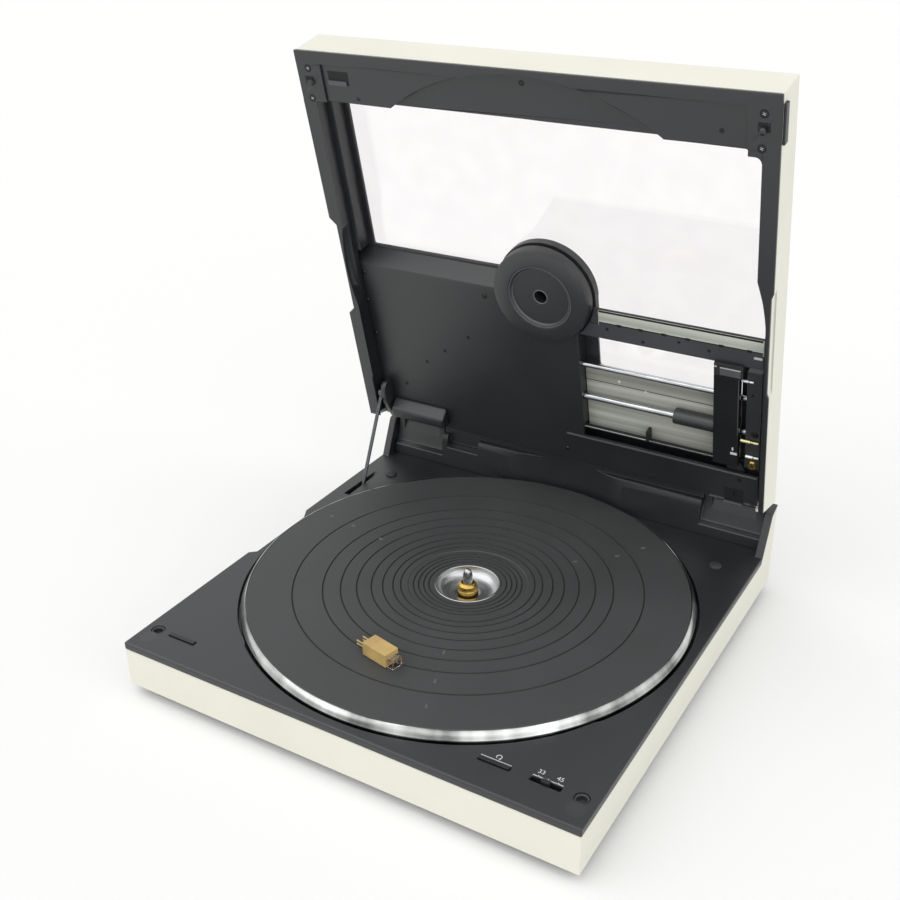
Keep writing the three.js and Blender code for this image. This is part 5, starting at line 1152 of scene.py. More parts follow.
corner_turns = [step / BAR_CORNER_STEPS * math.pi / 2 for step in range(BAR_CORNER_STEPS + 1)]
corner_edge = [
    (
        BAR_CORNER[0] - BAR_CORNER_RADIUS * (1 - math.cos(turn)),
        BAR_CORNER[1] - BAR_CORNER_RADIUS * (1 - math.sin(turn)),
    )
    for turn in corner_turns
]
corner_outline = (
    BAR_STEP, (BAR_CORNER[0] + SKIN, BAR_STEP[1]), *corner_edge, (BAR_STEP[0], BAR_CORNER[1])
)
corner_fill = bmesh.new()
grow(
    corner_fill, [(x, place, -BAR_CORNER_NEAR) for x, place in corner_outline],
    (0, 0, BAR_CORNER_NEAR - BAR_CORNER_FAR),
)
corner_fill.transform(lid_frame)
fitted("bar_corner", corner_fill, deck_plastic, "lid")


# Fittings of the front bar and the rim: cross headed screws sunk in round holes at the corners,
# hooks for the catches between them, and a small ribbed socket for a plug at the left. The holes,
# the hooks' holes, the recess screw's cross and the socket's floor are thin near-black sheets
# painted as the shade in them, and the corner screws' pale crosses are painted glints.
BAR_SCREWS = ((-0.1487, 0.2798), (-0.1497, 0.2598), (0.1480, 0.2796), (0.1473, 0.2599))
BAR_SCREW_RADIUS = 0.0026
BAR_SCREW_RISE = 0.00012
BAR_SCREW_SHARES = (0.66, 0.6, 0.4, 0.16)
SCREW_TAPER = 0.75
HOOKS = ((-0.1490, 0.2721), (0.1482, 0.2722))
HOOK_HOLE_LOW = (-0.0034, -0.0030)
HOOK_HOLE_HIGH = (0.0034, 0.0026)
HOOK_BLADE_LOW = (-0.0031, -0.0012)
HOOK_BLADE_HIGH = (0.0026, 0.0002)
HOOK_DOT = (0.0022, 0.0016)
HOOK_RISE = 0.0002
DOT_RADIUS = 0.0006
DOT_TAPER = 0.7
DOT_SIDES = 12
ARC_LEVEL = 0.0069
CENTRE_SCREW = (0.0012, 0.2804)
CENTRE_SCREW_RADIUS = 0.0019
CENTRE_HEAD_SHARE = 0.55
RECESS_LEVEL = 0.0016
RECESS_SCREW = (-0.1145, 0.2618)
RECESS_SCREW_RISE = 0.0004
RECESS_CROSS_SHARES = (0.6, 0.25)
RECESS_HOLE = (0.1245, 0.2670)
RECESS_MARK_RADIUS = 0.0015
SOCKET_LOW = (-0.1350, 0.2697)
SOCKET_HIGH = (-0.1195, 0.2787)
SOCKET_WALL = 0.0009
SOCKET_RISE = 0.0009
SOCKET_LEDGE_END = SOCKET_LOW[1] + 3.2 * SOCKET_WALL
SOCKET_RIBS = 5
SOCKET_RIB_RISE = 0.00015
SOCKET_RIB_START = SOCKET_LOW[1] + 0.6 * SOCKET_WALL
SOCKET_RIB_END = SOCKET_LOW[1] + 2.6 * SOCKET_WALL
HOLE_SHADE_AND_SEAM_COLOUR = (10, 10, 11)
SCREW_COLOUR = (58, 60, 63)
CROSS_GLINT_COLOUR = (176, 178, 180)
SOCKET_COLOUR = (84, 86, 88)


def sunk_screw(holes, heads, crosses, spot, level, radius, rise, shares):
    """Adds a screw in the lid on a thin near-black disc painted as the shade of its round hole.
    Three of the shares are of the hole's radius, for the head, its cross and the cross's width,
    and the second is the head's taper."""
    head_share, taper, cross_share, width_share = shares
    lid_disc(holes, *spot, level, radius, SKIN)
    lid_disc(heads, *spot, level - SKIN, radius * head_share, rise, taper)
    lid_cross(
        crosses, *spot, level - SKIN - rise, radius * cross_share, radius * width_share, SKIN
    )


def lid_pad(mesh, spot, low, high, top, under):
    """Adds a flat box in the lid between two corners that are given from a spot."""
    lid_bar(
        mesh, (spot[0] + low[0], spot[1] + low[1], top),
        (spot[0] + high[0], spot[1] + high[1], under),
    )


def lid_blocks(name, blocks, finish, body):
    """Makes boxes, each between two corners in the lid, one small visible piece."""
    mesh = bmesh.new()
    for low, high in blocks:
        lid_bar(mesh, low, high)
    fitted(name, mesh, finish, body)


# Near-black painted shade for holes, pits and recesses in the lid; it also draws dark seam lines.
shade_and_seam_black = moulded("shade_and_seam_black", HOLE_SHADE_AND_SEAM_COLOUR, rough=0.7, grain=0.0005)
screw_steel = sheet_metal("screw_steel", SCREW_COLOUR, rough=0.3, scratch=0.0004)
# Pale steel for the corner screws' crosses, painted as glints on them.
cross_glint_steel = sheet_metal("cross_glint_steel", CROSS_GLINT_COLOUR, rough=0.3, scratch=0.0004, metal=0.6)
socket_grey = moulded("socket_grey", SOCKET_COLOUR, rough=0.5)
bar_hole_shade = bmesh.new()
bar_heads = bmesh.new()
bar_cross_glints = bmesh.new()
for screw_spot in BAR_SCREWS:
    sunk_screw(
        bar_hole_shade, bar_heads, bar_cross_glints, screw_spot, 0, BAR_SCREW_RADIUS, BAR_SCREW_RISE,
        BAR_SCREW_SHARES,
    )
lid_disc(bar_hole_shade, *CENTRE_SCREW, ARC_LEVEL, CENTRE_SCREW_RADIUS, SKIN)
lid_disc(
    bar_heads, *CENTRE_SCREW, ARC_LEVEL - SKIN, CENTRE_SCREW_RADIUS * CENTRE_HEAD_SHARE,
    BAR_SCREW_RISE, SCREW_TAPER,
)
lid_disc(bar_hole_shade, *RECESS_HOLE, RECESS_LEVEL, RECESS_MARK_RADIUS, SKIN)
lid_disc(
    bar_heads, *RECESS_SCREW, RECESS_LEVEL, RECESS_MARK_RADIUS, RECESS_SCREW_RISE, SCREW_TAPER
)
recess_cross, recess_cross_width = (RECESS_MARK_RADIUS * share for share in RECESS_CROSS_SHARES)
lid_cross(
    bar_hole_shade, *RECESS_SCREW, RECESS_LEVEL - RECESS_SCREW_RISE, recess_cross,
    recess_cross_width, SKIN,
)
for hook in HOOKS:
    lid_pad(bar_hole_shade, hook, HOOK_HOLE_LOW, HOOK_HOLE_HIGH, -SKIN, 0)
    lid_pad(bar_heads, hook, HOOK_BLADE_LOW, HOOK_BLADE_HIGH, -HOOK_RISE, -SKIN)
    lid_disc(
        bar_heads, hook[0] + math.copysign(HOOK_DOT[0], hook[0]), hook[1] + HOOK_DOT[1], -SKIN,
        DOT_RADIUS, HOOK_RISE - SKIN, DOT_TAPER, DOT_SIDES,
    )
fitted("bar_hole_shade", bar_hole_shade, shade_and_seam_black, "lid")
fitted("bar_screws", bar_heads, screw_steel, "lid")
fitted("bar_cross_glints", bar_cross_glints, cross_glint_steel, "lid")
# The socket's floor is a near-black sheet painted as the shade in the socket.
lid_blocks(
    "socket_floor", [((*SOCKET_LOW, RECESS_LEVEL - SKIN), (*SOCKET_HIGH, RECESS_LEVEL))],
    shade_and_seam_black, "lid",
)
socket_top = RECESS_LEVEL - SOCKET_RISE
socket_ledges = [
    (
        (*SOCKET_LOW, socket_top),
        (SOCKET_HIGH[0] - 2 * SOCKET_WALL, SOCKET_LEDGE_END, RECESS_LEVEL - SKIN),
    ),
]
rib_step = (SOCKET_HIGH[0] - SOCKET_LOW[0] - 3 * SOCKET_WALL) / SOCKET_RIBS
for rib in range(SOCKET_RIBS):
    rib_x = SOCKET_LOW[0] + SOCKET_WALL + rib * rib_step
    socket_ledges.append((
        (rib_x, SOCKET_RIB_START, socket_top - SOCKET_RIB_RISE),
        (rib_x + rib_step / 2, SOCKET_RIB_END, socket_top),
    ))
lid_blocks("socket_ledge", socket_ledges, socket_grey, "lid")


# Window: one clear acrylic sheet, cut to an L and let into the lid's top. The sheet has a
# faint rose tint.
WINDOW_COLOUR = (255, 252, 253)
WINDOW_EASE = 0.0004


def lid_dressed(name, node, ease, finish, body, circles=()):
    """A casing of a frame part that lies square to the lid, made a piece on its body."""
    dressed(name, casing(node, ease, circles, place=lid_frame), finish, body, node)


window_clear = clear_plastic("window_clear", WINDOW_COLOUR, rough=0.0)
lid_dressed("window_pane", "lid_window", WINDOW_EASE, window_clear, "lid")


# Panel over the arm drive: a flat black moulding with a bite for the clamp and a ridge along
# the arm's bay. A raised box over the cable leaves its rear left part.
PANEL_EASE = 0.0006
BITE_RADIUS = 0.0358
CLAMP_SIDES = 40
CLAMP_CUTS = 3
CABLE_COVER_EASE = 0.0018

bite_circle = (0, AXIS_PLACE, BITE_RADIUS, CLAMP_SIDES, CLAMP_CUTS)
lid_dressed(
    "panel_moulding", "arm_panel", PANEL_EASE, deck_plastic, "lid",
    [bite_circle],
)
lid_dressed(
    "cable_box", "cable_cover", CABLE_COVER_EASE, deck_plastic, "lid"
)


# Fittings of the panel: cross headed screws near its edges, a slanting row of small holes, a
# pale bead along the bay and a socket with a ledge at its rear right corner. The holes, the
# screws' crosses and the socket are thin near-black sheets painted as the shade in them, and the
# bead is a pale strip painted as the highlight along the bay's ridge.
PANEL_LEVEL = 0.012
PANEL_SCREWS = (
    (-0.1456, 0.1234), (-0.1474, 0.0998), (-0.1457, 0.0710), (-0.0460, 0.1227), (0.0083, 0.0042),
)
PANEL_SCREW_RADIUS = 0.0021
PANEL_SCREW_RISE = 0.0005
PANEL_SCREW_SHARES = (0.7, SCREW_TAPER, 0.42, 0.2)
PANEL_HOLES = ((-0.0640, 0.0846), (-0.0857, 0.0680), (-0.1034, 0.0544), (-0.1256, 0.0290))
PANEL_HOLE_RADIUS = 0.0015
BEAD_LOW = (0.0096, 0.0189, 0.01045)
BEAD_HIGH = (0.1494, 0.0200, 0.01105)
PORT_LOW = (0.1265, -0.0068)
PORT_HIGH = (0.1400, 0.0052)
PORT_RISE = 0.0009
PORT_LEDGE_WIDTH = 0.0015
PORT_LEDGE_SHORT = 0.001
PORT_PINS = (0.0035, 0.0014, -0.0006)
PORT_PIN_X = 0.1335
PORT_PIN_RADIUS = 0.0008
PORT_PIN_RISE = 0.0006
PORT_RING = (0.1369, 0.0140)
PORT_RING_RADIUS = 0.0016
PORT_RING_SHARE = 0.7
PORT_RING_RISE = 0.0001
EDGE_COLOUR = (88, 90, 93)

# Near-black sheets painted as the shade in the panel's holes, crosses and socket.
panel_hole_shade = bmesh.new()
panel_heads = bmesh.new()
for screw_spot in PANEL_SCREWS:
    sunk_screw(
        panel_hole_shade, panel_heads, panel_hole_shade, screw_spot, PANEL_LEVEL, PANEL_SCREW_RADIUS,
        PANEL_SCREW_RISE, PANEL_SCREW_SHARES,
    )
for hole_spot in PANEL_HOLES:
    lid_disc(panel_hole_shade, *hole_spot, PANEL_LEVEL, PANEL_HOLE_RADIUS, SKIN)
lid_bar(panel_hole_shade, (*PORT_LOW, PANEL_LEVEL - SKIN), (*PORT_HIGH, PANEL_LEVEL))
lid_disc(panel_hole_shade, *PORT_RING, PANEL_LEVEL, PORT_RING_RADIUS, SKIN)
for pin_place in PORT_PINS:
    lid_disc(
        panel_heads, PORT_PIN_X, pin_place, PANEL_LEVEL - SKIN, PORT_PIN_RADIUS,
        PORT_PIN_RISE, DOT_TAPER, DOT_SIDES,
    )
lid_disc(
    panel_heads, *PORT_RING, PANEL_LEVEL - SKIN, PORT_RING_RADIUS * PORT_RING_SHARE,
    PORT_RING_RISE,
)
fitted("panel_hole_shade", panel_hole_shade, shade_and_seam_black, "lid")
fitted("panel_screws", panel_heads, screw_steel, "lid")
edge_grey = moulded("edge_grey", EDGE_COLOUR, rough=0.4)
port_ledge = (
    (PORT_LOW[0], PORT_LOW[1] - PORT_LEDGE_WIDTH, PANEL_LEVEL - PORT_RISE),
    (PORT_HIGH[0] - PORT_LEDGE_SHORT, PORT_LOW[1], PANEL_LEVEL),
)
# The bay's bead is a pale strip painted as the highlight on the ridge.
lid_blocks("bay_bead", [(BEAD_LOW, BEAD_HIGH), port_ledge], edge_grey, "lid")


# Strut: a plated steel rod with an eye on the pin of its bracket. Its foot slides in the deck,
# and a curved black lever beside it covers the eye.
LEVER_LEFT = -0.1434
LEVER_RIGHT = -0.1395
LEVER_OUTLINE = (
    (0.0310, 0.0050), (0.0285, 0.0018), (0.0235, 0.0002), (0.0170, 0.0004), (0.0100, 0.0022),
    (0.0030, 0.0048), (-0.0030, 0.0075), (-0.0050, 0.0096), (-0.0030, 0.0115), (0.0310, 0.0115),
)
LEVER_EASE = 0.0004
STRUT_COLOUR = (92, 95, 99)

strut_steel = sheet_metal("strut_steel", STRUT_COLOUR, rough=0.3)
finish_node("strut_bracket", deck_plastic)
finish_node("strut_rod", strut_steel)
lever_mesh = bmesh.new()
grow(
    lever_mesh, [(LEVER_LEFT, place, -depth) for place, depth in LEVER_OUTLINE],
    (LEVER_RIGHT - LEVER_LEFT, 0, 0),
)
lever_edges = [edge for edge in lever_mesh.edges if wide_enough(edge, LEVER_EASE)]
rounded(lever_mesh, lever_edges, LEVER_EASE, EASE_STEPS)
lever_mesh.transform(lid_frame)
fitted("strut_lever", lever_mesh, deck_plastic, "lid")


# Clamp: a round housing fixed in the lid, a sprung hollow spindle, and the dished disc that
# presses on the record's label. Thin grey rings on the dish's edges and round its bore are
# painted highlights.
CLAMP_STEPS = 128
MOUNT_RADIUS = 0.0355
DISC_RADIUS = 0.0345
DISC_FACE = 0.0062
DISC_THICK = 0.009
DISC_EASE = 0.0012
DISC_EASE_SHARE = 0.3
DISC_BACK_EASE = 0.0004
DISC_BORE = 0.0045
DISC_BORE_EASE = 0.0003
DISC_SEAT = 0.0034
SHAFT_BORE = 0.0083
DISH_RADIUS = 0.0224
DISH_DEPTH = 0.0018
DISH_RING = 0.0011
DISH_RING_SHARE = 0.7
DISH_RING_DEPTH = 0.0005
DISH_LIP = 0.0002
DISH_SLOPE = (0.0008, 0.0004)
CLAMP_COLOUR = (36, 38, 40)
RING_HIGHLIGHT_COLOUR = (112, 115, 118)
RING_TOP_SHARE = 0.4
DISC_HIGHLIGHT_RINGS = (
    ("dish_ring_outer", 0.0227, 0.0065, 0.00022), ("dish_ring_inner", 0.0208, 0.0077, 0.00020),
    ("bore_ring", 0.0050, 0.0081, 0.00035),
)


def on_clamp_axis(mesh):
    """Sets a mesh that was spun about Z on the clamp's axis in the lid."""
    set_at(mesh, 0, AXIS_PLACE, 0)
    mesh.transform(lid_frame)


clamp_plastic = moulded("clamp_plastic", CLAMP_COLOUR, rough=0.42, depth=0.00002, gloss=0.8)
lid_dressed(
    "clamp_mount", "clamp_housing", FRAME_EASE, clamp_plastic, "lid",
    [(0, AXIS_PLACE, MOUNT_RADIUS, CLAMP_SIDES, CLAMP_CUTS)],
)
disc_outline = (
    (DISC_BORE, DISH_DEPTH), (DISC_BORE, DISC_SEAT), (SHAFT_BORE, DISC_SEAT),
    (SHAFT_BORE, DISC_THICK), (DISC_RADIUS - DISC_BACK_EASE, DISC_THICK),
    (DISC_RADIUS, DISC_THICK - DISC_BACK_EASE), (DISC_RADIUS, DISC_EASE),
    (DISC_RADIUS - DISC_EASE * DISC_EASE_SHARE, DISC_EASE * DISC_EASE_SHARE),
    (DISC_RADIUS - DISC_EASE, 0), (DISH_RADIUS + DISH_RING, 0),
    (DISH_RADIUS + DISH_RING * DISH_RING_SHARE, DISH_RING_DEPTH),
    (DISH_RADIUS + DISH_LIP, DISH_RING_DEPTH), (DISH_RADIUS, DISH_LIP),
    (DISH_RADIUS - DISH_SLOPE[0], DISH_SLOPE[1]), (DISH_RADIUS - DISH_DEPTH, DISH_DEPTH),
    (DISC_BORE + DISC_BORE_EASE, DISH_DEPTH),
)
disc_mesh = turned(
    [(reach, -DISC_FACE - depth) for reach, depth in disc_outline], CLAMP_STEPS, closed=True
)
on_clamp_axis(disc_mesh)
disc = piece("clamp_dish", disc_mesh, clamp_plastic)
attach(disc, "clamp")
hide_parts("clamp_disc")
finish_node("clamp_spindle", dark_steel)
highlight_ring_plastic = moulded("highlight_ring_plastic", RING_HIGHLIGHT_COLOUR, rough=0.3)
# Each ring is a painted highlight on an edge of the dish or of its bore.
for ring_name, ring_radius, ring_depth, ring_width in DISC_HIGHLIGHT_RINGS:
    ring_top = ring_width * RING_TOP_SHARE
    ring_mesh = turned(
        [
            (ring_radius - ring_width, -ring_depth), (ring_radius + ring_width, -ring_depth),
            (ring_radius + ring_top, -ring_depth + ring_width),
            (ring_radius - ring_top, -ring_depth + ring_width),
        ],
        CLAMP_STEPS, closed=True,
    )
    on_clamp_axis(ring_mesh)
    fitted(ring_name, ring_mesh, highlight_ring_plastic, "clamp")


# Guide rods: two ground steel rods across the bay, held by the panel's block at the left and
# by the end block at the right.
RODS = {"guide_rod_upper": (0.0795, 0.0020), "guide_rod_lower": (0.0525, 0.0024)}
ROD_DEPTH = 0.0169
ROD_STEPS = 48
ROD_EASE = 0.0003
ROD_COLOUR = (190, 193, 196)
ALONG_X = Matrix.Rotation(math.pi / 2, 4, "Y")


def rod_mesh(low_x, high_x, place, radius):
    """A round rod along X in the lid, with eased ends."""
    mesh = turned(
        [
            (0, low_x), (radius - ROD_EASE, low_x), (radius, low_x + ROD_EASE),
            (radius, high_x - ROD_EASE), (radius - ROD_EASE, high_x), (0, high_x),
        ],
        ROD_STEPS,
    )
    mesh.transform(lid_frame @ Matrix.Translation((0, place, -ROD_DEPTH)) @ ALONG_X)
    return mesh


rod_steel = sheet_metal("rod_steel", ROD_COLOUR, rough=0.14, metal=1.0)
for rod_node, (rod_place, rod_radius) in RODS.items():
    rod_low, rod_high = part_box(rod_node)
    rod = piece(
        rod_node + "_bar", rod_mesh(rod_low[0], rod_high[0], rod_place, rod_radius), rod_steel
    )
    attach(rod, "lid")
    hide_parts(rod_node)


# Rail plate, bridge and scale: a plated steel plate lies behind the rods. Above them a black
# bridge crosses the window, and a bright scale strip is laid on its shelf.
PLATE_COLOUR = (190, 192, 182)
COVER_COLOUR = (190, 194, 184)
SCALE_COLOUR = (204, 208, 197)
BRIDGE_COLOUR = (64, 66, 70)
SMALL_EASE = 0.0003
BAND_SIZE = 0.006
PLATE_FACE = 0.0204
PLATE_COVER_LOW = (0.0290, 0.0255)
PLATE_COVER_HIGH = (0.0700, 0.0445)
PLATE_SEAM_LOW = (0.0236, 0.0644)
PLATE_SEAM_HIGH = (0.1392, 0.0649)
PLATE_DOT = (0.0481, 0.0678)
PLATE_DOT_RADIUS = 0.0011
PLATE_ARROW = (0.0674, 0.0640)
PLATE_ARROW_RADIUS = 0.0015
PLATE_ARROW_SIDES = 3
PLATE_RISE = 0.00015
PLATE_METAL = 0.15
PLATE_SHADES = (0.78, 1.1)
PLATE_SHEEN = (0.06, 0.08)
PLATE_BAND_STRETCH = (0.02, 1.0, 1.0)
PLATE_BAND_RELIEF = 0.00004
BRIDGE_FACE = 0.0123
BRIDGE_HOLE_RADIUS = 0.0012
BRIDGE_HOLES = ((0.0450, 0.1150), (0.0700, 0.1105), (0.0946, 0.1160), (0.1147, 0.1137))
SCALE_LINE_LOW = (0.0395, 0.1193)
SCALE_LINE_HIGH = (0.1490, 0.1199)
SCALE_LIP_LOW = (0.0395, 0.1168, 0.0121)
SCALE_LIP_HIGH = (0.1490, 0.1197, 0.0123)
SCALE_EDGE_LOW = (0.0395, 0.1273, 0.0122)
SCALE_EDGE_HIGH = (0.1490, 0.1286, 0.0124)
SCALE_LIP_FACE = 0.0121
BAY_BACK_LOW = (0.1343, 0.0262, 0.0200)
BAY_BACK_HIGH = (0.1397, 0.1066, 0.0204)
BRIDGE_TAB_LOW = (0.1437, 0.1145, 0.0118)
BRIDGE_TAB_HIGH = (0.1490, 0.1160, 0.0123)
TAB_COLOUR = (206, 208, 206)
SCALE_CLIPS = (0.052, 0.067, 0.083, 0.099, 0.121, 0.139)
CLIP_LOW = (0, -0.0008)
CLIP_HIGH = (0.0032, 0.0010)
CLIP_RISE = 0.0003


def rolled_plate(name, colour, rough):
    """Plated sheet with soft bands along X, as it mirrors the room, over fine scratches."""
    finish, tree, shader, place = new_finish(name, PLATE_METAL)
    stretched = add_node(tree, "Mapping", {"Vector": place, "Scale": PLATE_BAND_STRETCH})
    bands = add_node(
        tree, "TexNoise",
        {"Vector": stretched.outputs["Vector"], "Scale": 1 / BAND_SIZE, "Detail": 5.0},
    )
    dark, light = (shade(colour, share) for share in PLATE_SHADES)
    tint(tree, shader, bands.outputs["Fac"], dark, light, 0.3, 0.7)
    spread(
        tree, shader, bands.outputs["Fac"], rough - PLATE_SHEEN[0], rough + PLATE_SHEEN[1]
    )
    relief(tree, shader, bands.outputs["Fac"], PLATE_BAND_RELIEF)
    return finish


plated_steel = rolled_plate("plated_steel", PLATE_COLOUR, rough=0.42)
cover_steel = rolled_plate("cover_steel", COVER_COLOUR, rough=0.4)
scale_metal = rolled_plate("scale_metal", SCALE_COLOUR, rough=0.35)
bridge_plastic = moulded("bridge_plastic", BRIDGE_COLOUR, rough=0.45, grain=0.0005, depth=0.00003)
tab_white = moulded("tab_white", TAB_COLOUR, rough=0.4)
lid_dressed("rail_sheet", "rail_plate", SMALL_EASE, plated_steel, "lid")
lid_dressed(
    "bridge_bar", "rail_bridge", SMALL_EASE, bridge_plastic, "lid",
    [bite_circle],
)
lid_dressed(
    "scale_blade", "scale_strip", SMALL_EASE / 2, scale_metal, "lid"
)
plate_cover = ((*PLATE_COVER_LOW, PLATE_FACE - PLATE_RISE), (*PLATE_COVER_HIGH, PLATE_FACE))
lid_blocks("plate_cover", [plate_cover], cover_steel, "lid")
# Near-black lines, clips and holes: the seam is a dark joint, and the bridge's holes are painted
# shade.
plate_lines = bmesh.new()
lid_bar(plate_lines, (*PLATE_SEAM_LOW, PLATE_FACE - SKIN), (*PLATE_SEAM_HIGH, PLATE_FACE))
lid_bar(plate_lines, (*SCALE_LINE_LOW, SCALE_LIP_FACE - SKIN), (*SCALE_LINE_HIGH, BRIDGE_FACE))
lid_bar(plate_lines, SCALE_EDGE_LOW, SCALE_EDGE_HIGH)
for clip_x in SCALE_CLIPS:
    lid_pad(
        plate_lines, (clip_x, SCALE_LINE_LOW[1]), CLIP_LOW, CLIP_HIGH,
        BRIDGE_FACE - CLIP_RISE, BRIDGE_FACE,
    )
for hole_spot in BRIDGE_HOLES:
    lid_disc(plate_lines, *hole_spot, BRIDGE_FACE, BRIDGE_HOLE_RADIUS, SKIN)
fitted("plate_lines", plate_lines, shade_and_seam_black, "lid")
plate_marks = bmesh.new()
lid_disc(plate_marks, *PLATE_DOT, PLATE_FACE, PLATE_DOT_RADIUS, PLATE_RISE)
lid_disc(
    plate_marks, *PLATE_ARROW, PLATE_FACE, PLATE_ARROW_RADIUS, PLATE_RISE,
    sides=PLATE_ARROW_SIDES,
)
fitted("plate_marks", plate_marks, print_finish, "lid")
# The bay's back is a near-black plate painted as the shade in the gap beside the arm.
for block_name, block, block_finish in (
    ("scale_lip", (SCALE_LIP_LOW, SCALE_LIP_HIGH), bridge_plastic),
    ("bay_back", (BAY_BACK_LOW, BAY_BACK_HIGH), shade_and_seam_black),
    ("bridge_tab", (BRIDGE_TAB_LOW, BRIDGE_TAB_HIGH), tab_white),
):
    lid_blocks(block_name, [block], block_finish, "lid")


# Arm drive: a small flat motor behind the panel turns a belt that runs along the bay to an
# idler on the end block. A pale strip along the belt's edge and a row of pale dots on its teeth
# are painted highlights.
BELT_EDGE = 0.0276
BELT_EDGE_WIDTH = 0.0006
BELT_EDGE_RISE = 0.0002
BELT_FACE = 0.0143
BELT_EDGE_LEFT = 0.0205
BELT_EDGE_RIGHT = 0.0690
BELT_TEETH_LEFT = 0.0702
BELT_TEETH_RIGHT = 0.1170
BELT_TOOTH_PITCH = 0.0016
BELT_CLAMP_LOW = (0.0692, 0.0262, 0.0141)
BELT_CLAMP_HIGH = (0.0710, 0.0345, 0.0202)
DRIVE_COLOUR = (24, 25, 26)
BELT_HIGHLIGHT_COLOUR = (196, 198, 198)

drive_rubber = moulded("drive_rubber", DRIVE_COLOUR, rough=0.6, grain=0.0003, depth=0.00002)
lid_dressed(
    "end_block_moulding", "rod_end_block", SMALL_EASE, clamp_plastic, "lid"
)
finish_node("arm_drive_motor", dark_steel)
finish_node("drive_belt", drive_rubber)
belt_stretches = [(BELT_EDGE_LEFT, BELT_EDGE_RIGHT)]
for tooth in range(int((BELT_TEETH_RIGHT - BELT_TEETH_LEFT) / BELT_TOOTH_PITCH)):
    tooth_x = BELT_TEETH_LEFT + (tooth + 1) * BELT_TOOTH_PITCH
    belt_stretches.append((tooth_x, tooth_x + BELT_TOOTH_PITCH / 2))
belt_edge_highlight = moulded("belt_edge_highlight", BELT_HIGHLIGHT_COLOUR, rough=0.35, grain=0.0003)
# Pale strips painted as the highlight along the belt's edge and its teeth.
lid_blocks(
    "belt_edge",
    [
        (
            (low_x, BELT_EDGE - BELT_EDGE_WIDTH, BELT_FACE - BELT_EDGE_RISE),
            (high_x, BELT_EDGE, BELT_FACE),
        )
        for low_x, high_x in belt_stretches
    ],
    belt_edge_highlight, "lid",
)
lid_blocks(
    "belt_clamp", [(BELT_CLAMP_LOW, BELT_CLAMP_HIGH)], drive_rubber, "lid"
)


# End block fittings: a brass and a steel screw, a small steel stud, and three bright turned
# pins for the arm's lifter and its stop. The screws' crosses and the steel screw's hole are
# thin near-black sheets painted as the shade in them.
BLOCK_FACE = 0.0120
BLOCK_HEAD_TAPER = 0.8
BRASS_SCREW = (0.1452, 0.0290)
BRASS_SCREW_RADIUS = 0.0034
BRASS_SCREW_RISE = 0.0009
BRASS_CROSS = (0.0017, 0.0006)
STEEL_SCREW = (0.1462, 0.0552)
STEEL_SCREW_RADIUS = 0.0026
STEEL_SCREW_RISE = 0.0008
STEEL_HEAD_SHARE = 0.7
STEEL_CROSS = (0.0012, 0.0004)
BLOCK_STUD = (0.1439, 0.0864)
BLOCK_STUD_RADIUS = 0.0008
BLOCK_STUD_RISE = 0.0006
LIFT_PINS = (
    ("lift_pin_brass", (0.1370, 0.0493), 0.0122, 0.0011, (232, 224, 170)),
    ("lift_pin_steel", (0.1408, 0.0370), 0.0088, 0.0012, (236, 238, 240)),
    ("stop_pin_steel", (0.1366, 0.0972), 0.0078, 0.0010, (228, 232, 240)),
)
PIN_STEPS = 24
PIN_END_SHARE = 0.8
PIN_EASE_SHARE = 0.3
PIN_NECK_SHARES = ((1.0, 0.55), (0.6, 0.58), (0.6, 0.66), (0.85, 0.70), (0.7, 1.0))

brass_head = bmesh.new()
lid_disc(
    brass_head, *BRASS_SCREW, BLOCK_FACE, BRASS_SCREW_RADIUS, BRASS_SCREW_RISE, BLOCK_HEAD_TAPER
)
fitted("block_screw_brass", brass_head, turned_brass, "lid")
steel_head = bmesh.new()
lid_disc(
    steel_head, *STEEL_SCREW, BLOCK_FACE, STEEL_SCREW_RADIUS * STEEL_HEAD_SHARE,
    STEEL_SCREW_RISE, BLOCK_HEAD_TAPER,
)
lid_disc(
    steel_head, *BLOCK_STUD, BLOCK_FACE, BLOCK_STUD_RADIUS, BLOCK_STUD_RISE, BLOCK_HEAD_TAPER,
    DOT_SIDES,
)
fitted("block_screw_steel", steel_head, screw_steel, "lid")
block_shade_marks = bmesh.new()
lid_cross(block_shade_marks, *BRASS_SCREW, BLOCK_FACE - BRASS_SCREW_RISE, *BRASS_CROSS, SKIN)
lid_disc(block_shade_marks, *STEEL_SCREW, BLOCK_FACE, STEEL_SCREW_RADIUS, SKIN)
lid_cross(block_shade_marks, *STEEL_SCREW, BLOCK_FACE - STEEL_SCREW_RISE, *STEEL_CROSS, SKIN)
fitted("block_shade_marks", block_shade_marks, shade_and_seam_black, "lid")
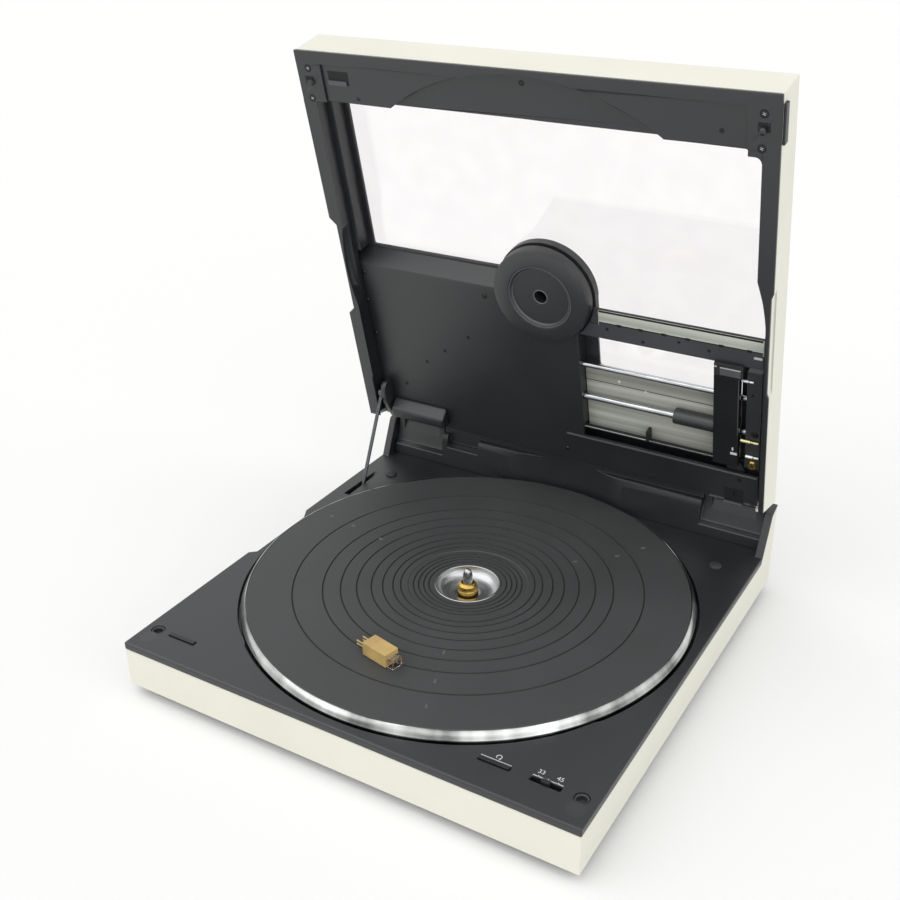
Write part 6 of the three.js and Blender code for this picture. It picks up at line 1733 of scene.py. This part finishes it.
for pin_name, (pin_x, pin_place), pin_length, pin_radius, pin_colour in LIFT_PINS:
    pin_mesh = turned(
        [
            (0, 0), (pin_radius * PIN_END_SHARE, 0), (pin_radius, pin_radius * PIN_EASE_SHARE),
            *((pin_radius * wide, pin_length * along) for wide, along in PIN_NECK_SHARES),
            (0, pin_length),
        ],
        PIN_STEPS,
    )
    pin_at = Matrix.Translation((pin_x, pin_place, -BLOCK_FACE + pin_radius))
    pin_mesh.transform(lid_frame @ pin_at @ ALONG_X)
    pin_finish = sheet_metal(pin_name + "_metal", pin_colour, rough=0.2, metal=0.6)
    fitted(pin_name, pin_mesh, pin_finish, "lid")


# Carriage and arm: a black block runs on both rods with a long bearing sleeve beside it, and
# carries the short tone arm with its headshell.
ARM_COLOUR = (24, 25, 27)
HEAD_PLATE_LOW = (0.1230, 0.1000, 0.0087)
HEAD_PLATE_HIGH = (0.1366, 0.1052, 0.0090)
ARM_EDGE_LOW = (0.1353, 0.0540, 0.0089)
ARM_EDGE_HIGH = (0.1357, 0.0984, 0.0090)
ARM_LINES = (
    ((0.1232, 0.1052, 0.0085), (0.1364, 0.1057, 0.0090)),
    ((0.1194, 0.1054, 0.0086), (0.1210, 0.1062, 0.0090)),
    ((0.1312, 0.0374, 0.0086), (0.1357, 0.0392, 0.0090)),
    ((0.1322, 0.0410, 0.0086), (0.1332, 0.0432, 0.0090)),
)

arm_plastic = moulded("arm_plastic", ARM_COLOUR, rough=0.34)
lid_dressed(
    "carriage_block", "carriage", SMALL_EASE, arm_plastic, "carriage"
)
lid_dressed("arm_beam", "tone_arm", SMALL_EASE, arm_plastic, "arm")
lid_dressed("headshell_body", "headshell", SMALL_EASE, clamp_plastic, "arm")
lid_blocks(
    "head_plate", [(HEAD_PLATE_LOW, HEAD_PLATE_HIGH), (ARM_EDGE_LOW, ARM_EDGE_HIGH)],
    edge_grey, "arm",
)
lid_blocks("arm_lines", ARM_LINES, tab_white, "arm")
lid_dressed(
    "sleeve_body", "bearing_sleeve", SMALL_EASE, clamp_plastic, "carriage"
)


# Keys and catches: three long keys on the lid's outer face, and a sprung steel catch in each
# of its sides.
KEY_NAMES = ("key_start", "key_stop", "key_cue")
CATCH_COLOUR = (62, 64, 67)

catch_steel = sheet_metal("catch_steel", CATCH_COLOUR, rough=0.4, metal=0.6)
for key_node in KEY_NAMES:
    lid_dressed(
        key_node + "_cap", key_node, SMALL_EASE, button_plastic, key_node
    )
for side in ("left", "right"):
    lid_dressed(
        "catch_blade_" + side, "lid_catch_" + side, SMALL_EASE, catch_steel, "catch_" + side,
    )
